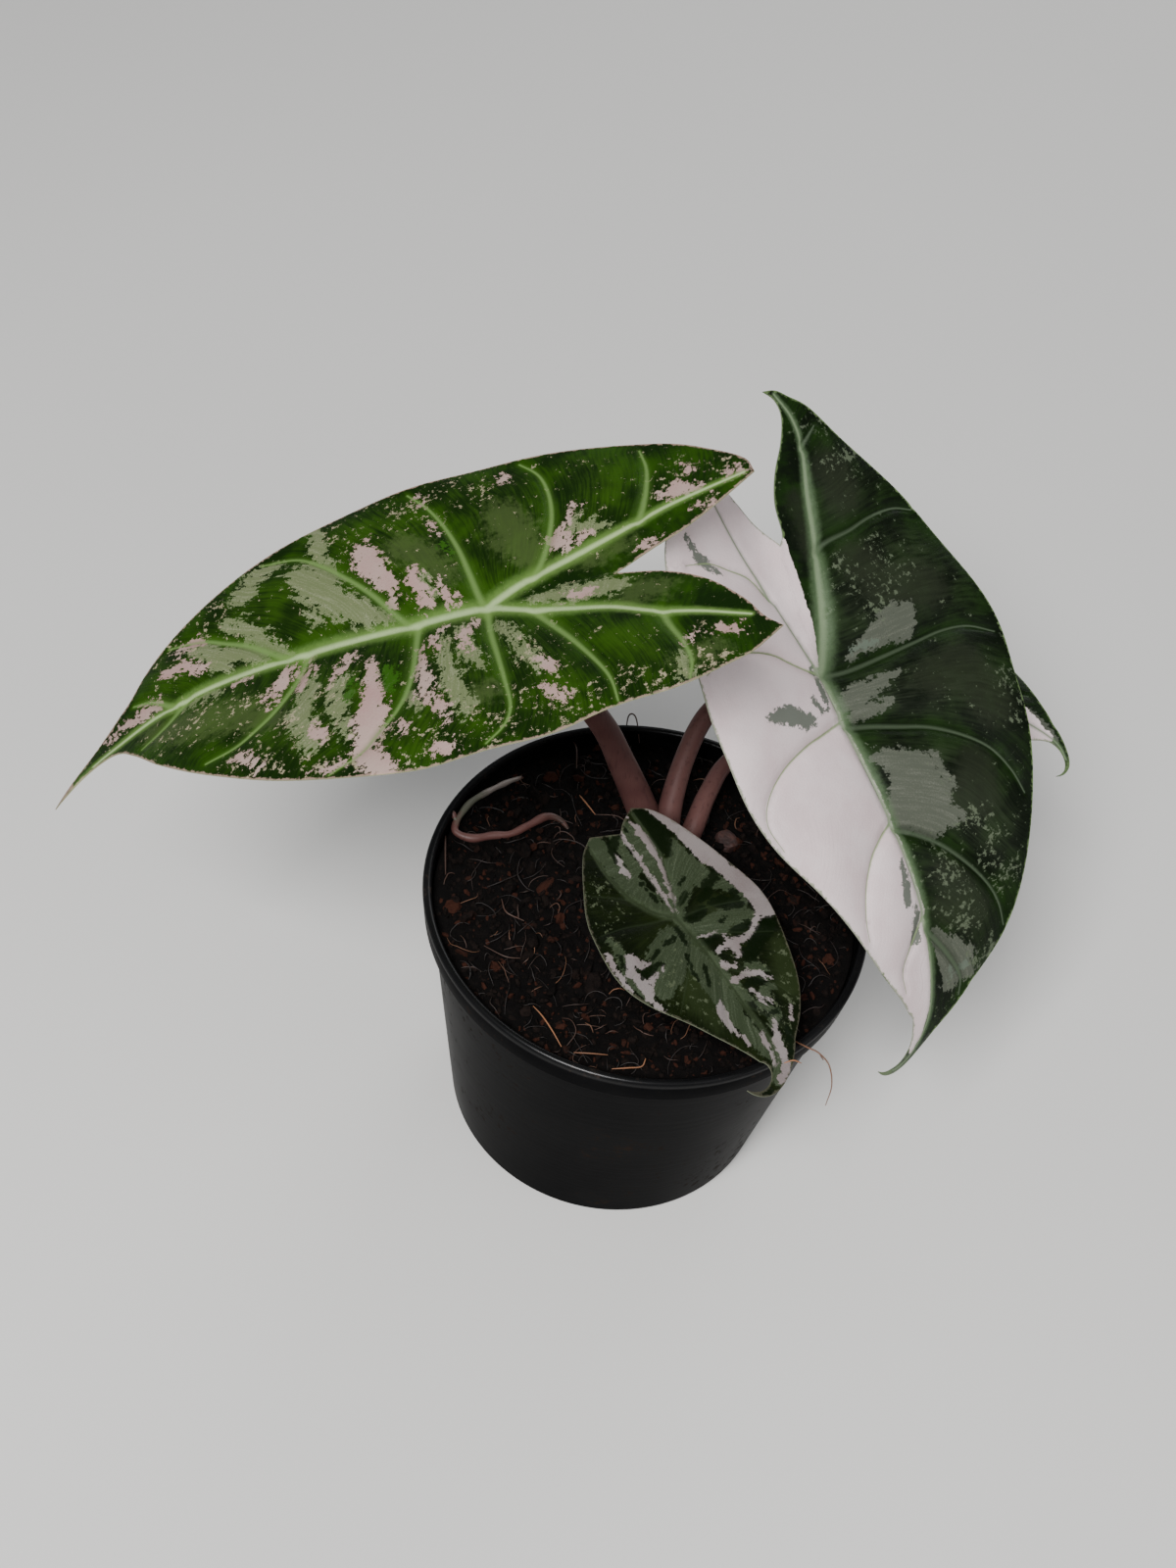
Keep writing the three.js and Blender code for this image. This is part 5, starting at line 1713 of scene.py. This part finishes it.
def soil_mesh():
    """The mix as one closed body with a finely crumbled top."""

    def at(ring, spoke):
        return 1 + (ring - 1) * SOIL_SPOKES + spoke % SOIL_SPOKES

    collar_radius = POT_RIM_RADIUS - LIP_WIDTH - COLLAR_CLEAR
    wall_radius = POT_RIM_RADIUS - COLLAR_STEP - COLLAR_DRAFT - POT_WALL - SOIL_CLEAR
    foot_radius = POT_FOOT_RADIUS - POT_WALL - SOIL_CLEAR
    wall_top = POT_HEIGHT - COLLAR_HEIGHT
    corners = [(0, 0, float(soil_height(0, 0)))]
    angles = 2 * math.pi * np.arange(SOIL_SPOKES) / SOIL_SPOKES
    for ring in range(1, SOIL_RINGS + 1):
        radius = collar_radius * ring / SOIL_RINGS
        x = radius * np.cos(angles)
        y = radius * np.sin(angles)
        z = soil_height(x, y)
        for px, py, pz in zip(x, y, z):
            coarse = noise.noise(Vector((px, py, 3)) * 0.42)
            fine = noise.noise(Vector((px, py, 9)) * 1.15)
            corners.append((px, py, pz + COARSE_CRUMBLE * coarse + FINE_CRUMBLE * fine))
    skirt = [(collar_radius, wall_top + 1.6), (wall_radius, wall_top - 0.5), (foot_radius, 4.3)]
    for radius, height in skirt:
        corners += [(radius * math.cos(a), radius * math.sin(a), height) for a in angles]
    corners.append((0, 0, skirt[-1][1]))
    rings = SOIL_RINGS + len(skirt)
    faces = []
    for i in range(SOIL_SPOKES):
        faces.append((0, at(1, i), at(1, i + 1)))
        for ring in range(1, rings):
            faces.append((at(ring, i), at(ring + 1, i), at(ring + 1, i + 1), at(ring, i + 1)))
        faces.append((len(corners) - 1, at(rings, i + 1), at(rings, i)))
    mesh = bpy.data.meshes.new("potting_mix_skin")
    mesh.from_pydata((np.array(corners) * MM).tolist(), [], faces)
    mesh.shade_smooth()
    return mesh


def mix_finish(name, dark, light, red):
    """Crumbly organic matter between three tones."""
    f = Finish(name)
    place = f.place()
    tint = f.attribute("tint")
    coarse = f.noise(place, 420, 5, 0.65)
    fine = f.noise(place, 1900, 4, 0.7)
    colour = f.mix(dark, light, f.step(coarse * 0.6 + fine * 0.4 + tint * 0.25, 0.45, 0.78))
    colour = f.mix(colour, red, f.step(tint + f.noise(place, 160, 2) * 0.2, 0.86, 0.98) * 0.85)
    normal = f.bump(fine * 0.5 + coarse * 0.5, 0.7 * MM, 0.9)
    sockets = {"Base Color": colour, "Roughness": fine * 0.15 + 0.82, "Normal": normal}
    return f.done({**sockets, "Specular IOR Level": MIX_SPECULAR})


# painted shade: the mix's three tones are darker than the mix itself
SOIL_COLOURS_WITH_PAINTED_SHADE = [(0.0015, 0.0011, 0.001), (0.0065, 0.0044, 0.0036), (0.013, 0.005, 0.0034)]
SOIL_FINISH = mix_finish("potting_mix", *SOIL_COLOURS_WITH_PAINTED_SHADE)
soil = soil_mesh()
soil.materials.append(SOIL_FINISH)
settle("potting_mix_skin", soil, "potting_mix", "potting_mix")

# %% [markdown]
# ## Crumbs on the mix
#
# Thousands of crumbs would be hopeless by hand. The tree scatters points over the top of
# the mix, puts a small faceted lump on each with its own size and turn, and then pushes
# the lumps out of shape with noise, so that no two are alike. The share near the lip is
# left out, where a crumb would reach through the wall.


# %% Crumb tree
FULL_TURN = 6.28
TOP_OF_MIX = 0.08
CRUMB_PUSH = 1.1


def random_vector(recipe, low, high, seed):
    """A vector drawn anew for every instance."""
    limits = {"Min": low, "Max": high, "Seed": seed}
    return recipe.node("FunctionNodeRandomValue", limits, data_type="FLOAT_VECTOR")


def random_number(recipe, low, high, seed):
    """A number drawn anew for every instance."""
    limits = {"Min_001": low, "Max_001": high, "Seed": seed}
    return recipe.node("FunctionNodeRandomValue", limits, out="Value_001", data_type="FLOAT")


def crumb_tree():
    """A tree that scatters rough lumps over the upward faces inside a radius."""
    inputs = {
        "Density": "NodeSocketFloat", "Size": "NodeSocketFloat", "Reach": "NodeSocketFloat",
        "Fineness": "NodeSocketInt", "Seed": "NodeSocketInt", "Finish": "NodeSocketMaterial",
    }
    r = Recipe("crumbs", inputs)
    place = r.node("GeometryNodeInputPosition")
    flat = r.node("ShaderNodeVectorMath", {0: place, 1: (1, 1, 0)}, operation="MULTIPLY")
    from_axis = r.node("ShaderNodeVectorMath", {0: flat}, out="Value", operation="LENGTH")
    height = r.node("ShaderNodeSeparateXYZ", {0: place}, out="Z")
    near = r.node("ShaderNodeMath", {0: from_axis, 1: r.input("Reach")}, operation="LESS_THAN")
    top = r.node("ShaderNodeMath", {0: height, 1: TOP_OF_MIX}, operation="GREATER_THAN")
    sockets = {"Mesh": r.input("Geometry"), "Selection": near * top}
    sockets.update({label: r.input(label) for label in ("Density", "Seed")})
    points = r.node("GeometryNodeDistributePointsOnFaces", sockets, distribute_method="RANDOM")
    ball = {"Radius": r.input("Size"), "Subdivisions": r.input("Fineness")}
    lump = r.node("GeometryNodeMeshIcoSphere", ball)
    turn = random_vector(r, (0, 0, 0), (FULL_TURN, FULL_TURN, FULL_TURN), 3)
    grade = random_number(r, 0.35, 1.0, 7)
    stretch = random_vector(r, (0.5, 0.5, 0.35), (1.6, 1.1, 0.8), 5)
    size = r.node("ShaderNodeVectorMath", {0: stretch, "Scale": grade * grade}, operation="SCALE")
    placed = {"Points": points, "Instance": lump, "Rotation": turn, "Scale": size}
    crumbs = r.node("GeometryNodeInstanceOnPoints", placed)
    tint = random_number(r, 0.0, 1.0, 11)
    stored = {"Geometry": crumbs, "Name": "tint", "Value": tint}
    tinted = r.node("GeometryNodeStoreNamedAttribute", stored, domain="INSTANCE", data_type="FLOAT")
    whole = r.node("GeometryNodeRealizeInstances", {"Geometry": tinted})
    wobble = r.node("ShaderNodeTexNoise", {"Scale": 700.0, "Detail": 2.0}, out="Color")
    centred = r.node("ShaderNodeVectorMath", {0: wobble, 1: (0.5, 0.5, 0.5)}, operation="SUBTRACT")
    reach = r.input("Size") * CRUMB_PUSH
    push = r.node("ShaderNodeVectorMath", {0: centred, "Scale": reach}, operation="SCALE")
    rough = r.node("GeometryNodeSetPosition", {"Geometry": whole, "Offset": push})
    return r.finish(rough, r.input("Finish"))


CRUMB_TREE = crumb_tree()
print("crumb tree has", len(CRUMB_TREE.nodes), "nodes")

# %% [markdown]
# ## Scattering them
#
# The same tree runs twice: small crumbs first, then fewer and larger chips.

# %% Crumbs and chips
# painted shade: the crumbs' tones are darker than the crumbs themselves
CRUMB_COLOURS_WITH_PAINTED_SHADE = [(0.0016, 0.0012, 0.0011), (0.0095, 0.0058, 0.0046), (0.032, 0.0105, 0.006)]
CRUMB_FINISH = mix_finish("mix_crumbs", *CRUMB_COLOURS_WITH_PAINTED_SHADE)
crumb_values = {
    "Density": 400000.0, "Size": 1.25 * MM, "Reach": 55.6 * MM, "Fineness": 1, "Seed": 4,
    "Finish": CRUMB_FINISH,
}
chip_values = {
    "Density": 26000.0, "Size": 2.5 * MM, "Reach": 53.5 * MM, "Fineness": 2, "Seed": 21,
    "Finish": CRUMB_FINISH,
}
crumbs = grow(CRUMB_TREE, soil.copy(), crumb_values, "mix_crumbs")
settle("mix_crumbs", outward(crumbs), "potting_mix")
chips = grow(CRUMB_TREE, soil.copy(), chip_values, "mix_chips")
settle("mix_chips", outward(chips), "potting_mix")

# %% [markdown]
# ## Fibres
#
# Coco mix is full of short hairs. Each is a little wandering line that follows the top of
# the mix, and a few are listed one by one where they stand out: orange ones near the front
# lip, pale ones along the wall, one that hangs over the lip, a small loop over the lip at
# the back, and a short one that lies on the front leaf's tip.

# %% Drawn fibres
LIP_FIBRE = [
    (40.9, -36.6, 85.6), (42.4, -37.8, 88.8), (44.0, -39.2, 90.3), (46.4, -40.7, 91.2),
    (49.2, -41.6, 91), (52.4, -43, 88.5), (54, -46.5, 85), (53.3, -50.8, 82),
]
DRAWN_FIBRES = [
    ([(-22.7, 31.9, 86.6), (-20.5, 29, 87.2), (-17.5, 26.3, 86.4)], 0.21, 0.95),
    ([(-17.5, 26.3, 86.4), (-12, 27, 86.6), (-8.5, 26, 86.2)], 0.15, 0.6),
    ([(-24.4, -40, 86.2), (-21.7, -43, 87), (-18.6, -46.6, 86.8), (-15.5, -50.5, 86)], 0.2, 0.95),
    ([(-12.2, -51.8, 86.4), (-8, -51.4, 86.8), (-3.6, -50.5, 86.2)], 0.2, 0.78),
    ([(-2, -54.4, 86.2), (2, -53.6, 86.8), (5.3, -52.2, 86.4), (6, -50, 87)], 0.21, 0.88),
    (LIP_FIBRE, 0.22, 0.75),
    ([(49.2, -41.6, 91), (50.6, -42.8, 90)], 0.16, 0.6),
    ([(38.9, -54.7, 103.2), (41, -54, 104), (43.2, -53.7, 103)], 0.2, 0.95),
    ([(-13.1, 57.5, 86), (-13.1, 60.5, 91.2), (-11, 60, 91.3), (-8.7, 55, 86.6)], 0.24, 0.6),
    ([(-27.7, 52, 86.2), (-26, 48, 87.4), (-24.9, 41.8, 86.2)], 0.22, 0.55),
    ([(-56.4, 10, 85.6), (-55.6, 4.6, 87.2), (-54, -3.3, 86)], 0.26, 0.5),
    ([(-38, -8, 86), (-36, -13, 87.4), (-31, -14, 86.4)], 0.22, 0.6),
    ([(-40, -24, 86), (-34, -27, 87.2), (-30, -26, 86.2)], 0.2, 0.45),
]
print("drawn fibres:", len(DRAWN_FIBRES))

# %% [markdown]
# ## Scattered fibres
#
# The rest are drawn by a seeded generator, which gives the same hairs on every run. Each
# takes small steps with a changing heading, and is held inside the wall.

# %% Scattered fibres
FIBRE_SEED = 8
FIBRE_COUNT = 360
FIBRE_SIDES = 5
FIBRE_SPREAD = 54.5
FIBRE_LIMIT = 55
FIBRE_POINTS = 8


def wandering_fibre(rng):
    """A short hair that lies on the mix."""
    angle = rng.uniform(0, 2 * math.pi)
    distance = FIBRE_SPREAD * math.sqrt(rng.random())
    x = distance * math.cos(angle)
    y = distance * math.sin(angle)
    heading = rng.uniform(0, 2 * math.pi)
    length = rng.uniform(2.5, 9.0) if rng.random() < 0.85 else rng.uniform(9, 16)
    curl = rng.uniform(-0.35, 0.35)
    arch = rng.uniform(0.2, 1.6)
    points = []
    for i in range(FIBRE_POINTS):
        pulled_in = min(1, FIBRE_LIMIT / max(math.hypot(x, y), 1e-6))
        x_in = x * pulled_in
        y_in = y * pulled_in
        lift = 0.5 + arch * math.sin(math.pi * i / (FIBRE_POINTS - 1)) + rng.uniform(-0.1, 0.1)
        points.append((x_in, y_in, float(soil_height(x_in, y_in)) + lift))
        heading += curl + rng.uniform(-0.25, 0.25)
        x += length / FIBRE_POINTS * math.cos(heading)
        y += length / FIBRE_POINTS * math.sin(heading)
    return points


def tapered(count, radius):
    """Radii of a hair: full in its middle, fine at both ends."""
    share = np.linspace(0, 1, count)
    return radius * (0.35 + 0.65 * np.sqrt(np.sin(math.pi * np.clip(share, 0.02, 0.98))))


def fibre_finish():
    """Straw-coloured to rusty hairs."""
    f = Finish("coco_fibre")
    tint = f.attribute("tint")
    cloud = f.noise(f.place(), 240, 3)
    colour = f.mix((0.008, 0.004, 0.003), (0.045, 0.021, 0.014), f.step(tint, 0.1, 0.6))
    colour = f.mix(colour, (0.25, 0.105, 0.045), f.step(tint, 0.55, 1.0))
    colour = f.mix(colour, (0.16, 0.10, 0.07), f.step(cloud, 0.5, 0.7) * f.step(tint, 0.2, 0.8) * 0.35)
    return f.done({"Base Color": colour, "Roughness": cloud * 0.2 + 0.5})


def all_fibres():
    """The drawn fibres and the scattered ones, as chains."""
    rng = random.Random(FIBRE_SEED)
    chains = []
    for points, radius, tint in DRAWN_FIBRES:
        line = smooth_line(points, 7)
        chains.append((line, tapered(len(line), radius), tint))
    for _ in range(FIBRE_COUNT):
        points = wandering_fibre(rng)
        line = smooth_line(points, 2)
        chains.append((line, tapered(len(line), rng.uniform(0.07, 0.17)), rng.random() ** 2.2 * 0.8))
    return chains


fibre_values = {"Sides": FIBRE_SIDES, "Finish": fibre_finish()}
fibres = grow(SWEEP, chain_mesh(all_fibres()), fibre_values, "coco_fibres")
settle("coco_fibres", outward(fibres), "potting_mix")

# %% [markdown]
# ## The surface root
#
# One root lies on the mix. Its fresh end is white behind a brown tip. It turns olive grey,
# then pink in a hairpin by the wall, and goes brown where it enters the mix. Its tones are
# all darker than the root's own, as painted shade. It is swept like a stalk, a little
# thinner at the fresh end, with a radius that swells and narrows.

# %% Surface root
ROOT_ROUTE = [
    (-38.6, 37, 84.4), (-42.8, 31.8, 86.8), (-47.3, 26.4, 88), (-51.4, 21.3, 88.2), (-53.5, 16.6, 87.8),
    (-54.4, 13.3, 87.2), (-53.6, 10.8, 86.8), (-49.2, 10.1, 86.5), (-43.9, 12.5, 86.3), (-39.2, 14.2, 86.3),
    (-35, 18, 86.5), (-30.6, 22.2, 86.6), (-26.8, 22.6, 85.8), (-23.4, 20.6, 84),
]
ROOT_RADIUS = 1.08
ROOT_SAMPLES = 16
ROOT_STEP = 0.7
FRESH_RADIUS_SHARE = 0.8
ROOT_STUB = [(-54, 13.6, 87.4), (-55, 14.8, 88.2), (-55.9, 16, 89.4)]


def root_finish_with_painted_shade():
    """White behind a brown tip, then olive grey, pink and brown, with darker scars; all darkened as painted
    shade.
    """
    f = Finish("root_skin")
    share = f.attribute("share")
    place = f.place()
    cloud = f.noise(place, 260, 4, 0.6)
    scars = f.noise(f.scaled(place, (600, 600, 600)), 1.0, 2)
    uneven = share + (cloud - 0.5) * 0.14
    # painted shade: every tone here is darker than the root's own colour
    colour = f.mix((0.09, 0.05, 0.04), (0.21, 0.178, 0.16), f.step(uneven, 0.02, 0.06))
    colour = f.mix(colour, (0.085, 0.086, 0.062), f.step(uneven, 0.21, 0.28))
    colour = f.mix(colour, (0.10, 0.040, 0.034), f.step(uneven, 0.37, 0.45))
    colour = f.mix(colour, (0.04, 0.020, 0.014), f.step(uneven, 0.84, 0.95))
    colour = f.mix(colour, (0.085, 0.034, 0.028), f.step(cloud, 0.5, 0.75) * f.step(share, 0.25, 0.45) * 0.8)
    colour = f.mix(colour, (0.03, 0.014, 0.010), f.step(scars, 0.66, 0.78) * 0.6)
    normal = f.bump(cloud, 0.3 * MM, 0.6)
    return f.done({"Base Color": colour, "Roughness": cloud * 0.2 + 0.42, "Normal": normal})


def root_chain(route, radius, wobble):
    """A root's line with a slightly uneven thickness."""
    line = even_line(smooth_line(route, ROOT_SAMPLES), ROOT_STEP)
    share = np.linspace(0, 1, len(line))
    taper = np.minimum(1, np.minimum(share / 0.12, (1 - share) / 0.1))
    bumps = 1 + wobble * (np.sin(share * 61) * 0.5 + np.sin(share * 23 + 1) * 0.5)
    fresh = np.interp(share, [0.28, 0.5], [FRESH_RADIUS_SHARE, 1.0])
    return line, radius * (0.4 + 0.6 * taper) * bumps * fresh, 0.5


ROOT_FINISH_WITH_PAINTED_SHADE = root_finish_with_painted_shade()
root_line = chain_mesh([root_chain(ROOT_ROUTE, ROOT_RADIUS, 0.15)])
root = grow(SWEEP, root_line, {"Sides": 18, "Finish": ROOT_FINISH_WITH_PAINTED_SHADE}, "surface_root_skin")
settle("surface_root_skin", outward(root), "root_skin", "surface_root")
stub_line = chain_mesh([root_chain(ROOT_STUB, 0.75, 0.1)])
stub = grow(SWEEP, stub_line, {"Sides": 12, "Finish": ROOT_FINISH_WITH_PAINTED_SHADE}, "root_stub")
settle("root_stub", outward(stub), "root_skin")

# %% [markdown]
# ## The crown
#
# The crown is the short thick stem that all stalks spring from, ringed by the scars of
# old leaves. It is turned like the pot and then roughened. The turning tree always bores,
# so the crown's bores are put half a metre away, where they meet nothing.

# %% Crown
CROWN = {"radius": 8.2, "bottom": 62.0, "top": 90.0}
BORES_FAR_AWAY = {"Holes": 3, "Hole Circle": 0.5, "Hole Radius": 1 * MM}


def crown_profile():
    """The crown's section, with a scar every few millimetres."""
    heights = np.linspace(0, 1, 60)
    points = [(0, CROWN["bottom"])]
    for share in heights:
        swell = math.sqrt(max(0.0, 1 - abs(2 * share - 0.9) ** 5 / 1.1**5))
        scar = 0.25 * abs(math.sin(share * 22))
        radius = max(0.4, (CROWN["radius"] - 0.3) * swell - scar)
        points.append((radius, CROWN["bottom"] + share * (CROWN["top"] - CROWN["bottom"])))
    return [*points, (0, CROWN["top"])]


def bark_like(name, dark, light):
    """Matt brown skin with fine layers."""
    f = Finish(name)
    place = f.place()
    layers = f.noise(f.scaled(place, (260, 260, 1500)), 1.0, 4, 0.6)
    cloud = f.noise(place, 500, 4, 0.65)
    colour = f.mix(dark, light, f.step(layers * 0.6 + cloud * 0.4, 0.38, 0.66))
    normal = f.bump(layers, 0.6 * MM, 0.8)
    return f.done({"Base Color": colour, "Roughness": cloud * 0.2 + 0.6, "Normal": normal})


def roughened(mesh, fineness, depth):
    """Pushes the vertices of a mesh in and out with noise, in millimetres."""
    for vertex in mesh.vertices:
        push = noise.noise(vertex.co / MM * fineness)
        vertex.co += vertex.normal * push * depth * MM
    return mesh


crown_finish = bark_like("crown_skin", (0.05, 0.022, 0.016), (0.17, 0.08, 0.06))
crown_values = {"Segments": 72, **BORES_FAR_AWAY, "Finish": crown_finish}
crown = turned_upright(grow(TURN, profile_mesh(crown_profile()), crown_values, "crown_skin"))
crown = roughened(crown, 0.5, 0.35)
crown.transform(Matrix.Translation((CROWN_PLACE[0] * MM, CROWN_PLACE[1] * MM, 0)))
crown.shade_smooth()
settle("crown_skin", crown, "crown_skin", "crown")

# %% [markdown]
# ## The bark chip
#
# The chip is a rounded lump with layers. A fine sphere is cut flat above, below and at its
# ends, and pushed about with two sizes of noise. A box would be too sharp.

# %% Bark chip
CHIP = {
    "x": 19.5, "y": 25.5, "raise": 0.9, "turn": -50, "tilt": 14,
    "length": 7.6, "width": 5.6, "height": 4.2,
}


def chip_mesh():
    """A rounded bark chip lying in the mix."""
    shape = bmesh.new()
    bmesh.ops.create_icosphere(shape, subdivisions=5, radius=1)
    for vertex in shape.verts:
        push = 1 + 0.1 * noise.noise(vertex.co * 1.6) + 0.05 * noise.noise(vertex.co * 5)
        flat = Vector((max(-0.82, min(0.82, vertex.co.x)), vertex.co.y, max(-0.7, min(0.7, vertex.co.z))))
        vertex.co = flat * push
    size = Matrix.Diagonal((CHIP["length"] / 2, CHIP["width"] / 2, CHIP["height"] / 2, 1))
    tilt = Matrix.Rotation(math.radians(CHIP["tilt"]), 4, "X")
    turn = Matrix.Rotation(math.radians(CHIP["turn"]), 4, "Z") @ tilt
    rest = float(soil_height(CHIP["x"], CHIP["y"])) + CHIP["raise"]
    shape.transform(Matrix.Scale(MM, 4) @ Matrix.Translation((CHIP["x"], CHIP["y"], rest)) @ turn @ size)
    mesh = bpy.data.meshes.new("bark_chip_skin")
    shape.to_mesh(mesh)
    shape.free()
    mesh.materials.append(bark_like("bark", (0.014, 0.004, 0.003), (0.045, 0.014, 0.009)))
    mesh.shade_smooth()
    return mesh


settle("bark_chip_skin", chip_mesh(), "bark", "bark_chip")

# %% [markdown]
# ## Floor and light
#
# A plain pale floor and large soft lights keep the leaves' own colours. The main light
# hangs above and in front, a little to the left, where no blade mirrors it into the
# camera. A weak one at the right fills the shadows and one behind lifts the edges.

# %% Floor and lights
FLOOR_SIZE = 6.0
LIGHTS = [
    ("key", (-0.25, -0.75, 1.2), 0.45, 30.0),
    ("fill", (0.95, -0.5, 0.8), 1.1, 3.5),
    ("rim", (0.35, 1.05, 0.75), 0.6, 4.0),
]
AIM = Vector((0, 0, 0.1))


def make_floor():
    """A large pale floor under the pot."""
    f = Finish("pale_floor")
    cloud = f.noise(f.place(), 3, 2)
    colour = f.mix((0.60, 0.59, 0.57), (0.64, 0.63, 0.61), cloud)
    material = f.done({"Base Color": colour, "Roughness": 0.7})
    mesh = bpy.data.meshes.new("floor")
    half = FLOOR_SIZE / 2
    corners = [(-half, -half, 0), (half, -half, 0), (half, half, 0), (-half, half, 0)]
    mesh.from_pydata(corners, [], [(0, 1, 2, 3)])
    mesh.materials.append(material)
    floor = bpy.data.objects.new("floor", mesh)
    bpy.context.scene.collection.objects.link(floor)


def make_lights():
    """Soft area lights aimed at the plant, and an even grey sky."""
    for name, place, size, power in LIGHTS:
        data = bpy.data.lights.new(name, "AREA")
        data.size = size
        data.energy = power
        lamp = bpy.data.objects.new(name, data)
        lamp.location = place
        lamp.rotation_euler = (AIM - Vector(place)).to_track_quat("-Z", "Y").to_euler()
        bpy.context.scene.collection.objects.link(lamp)
    world = bpy.data.worlds.new("studio")
    world.use_nodes = True
    sky = world.node_tree.nodes["Background"]
    sky.inputs["Color"].default_value = (0.9, 0.94, 1, 1)
    sky.inputs["Strength"].default_value = 0.25
    bpy.context.scene.world = world


make_floor()
make_lights()
print("lights:", [name for name, *_ in LIGHTS])

# %% [markdown]
# ## Sizes
#
# The finished plant has to stay as large as the frame says.
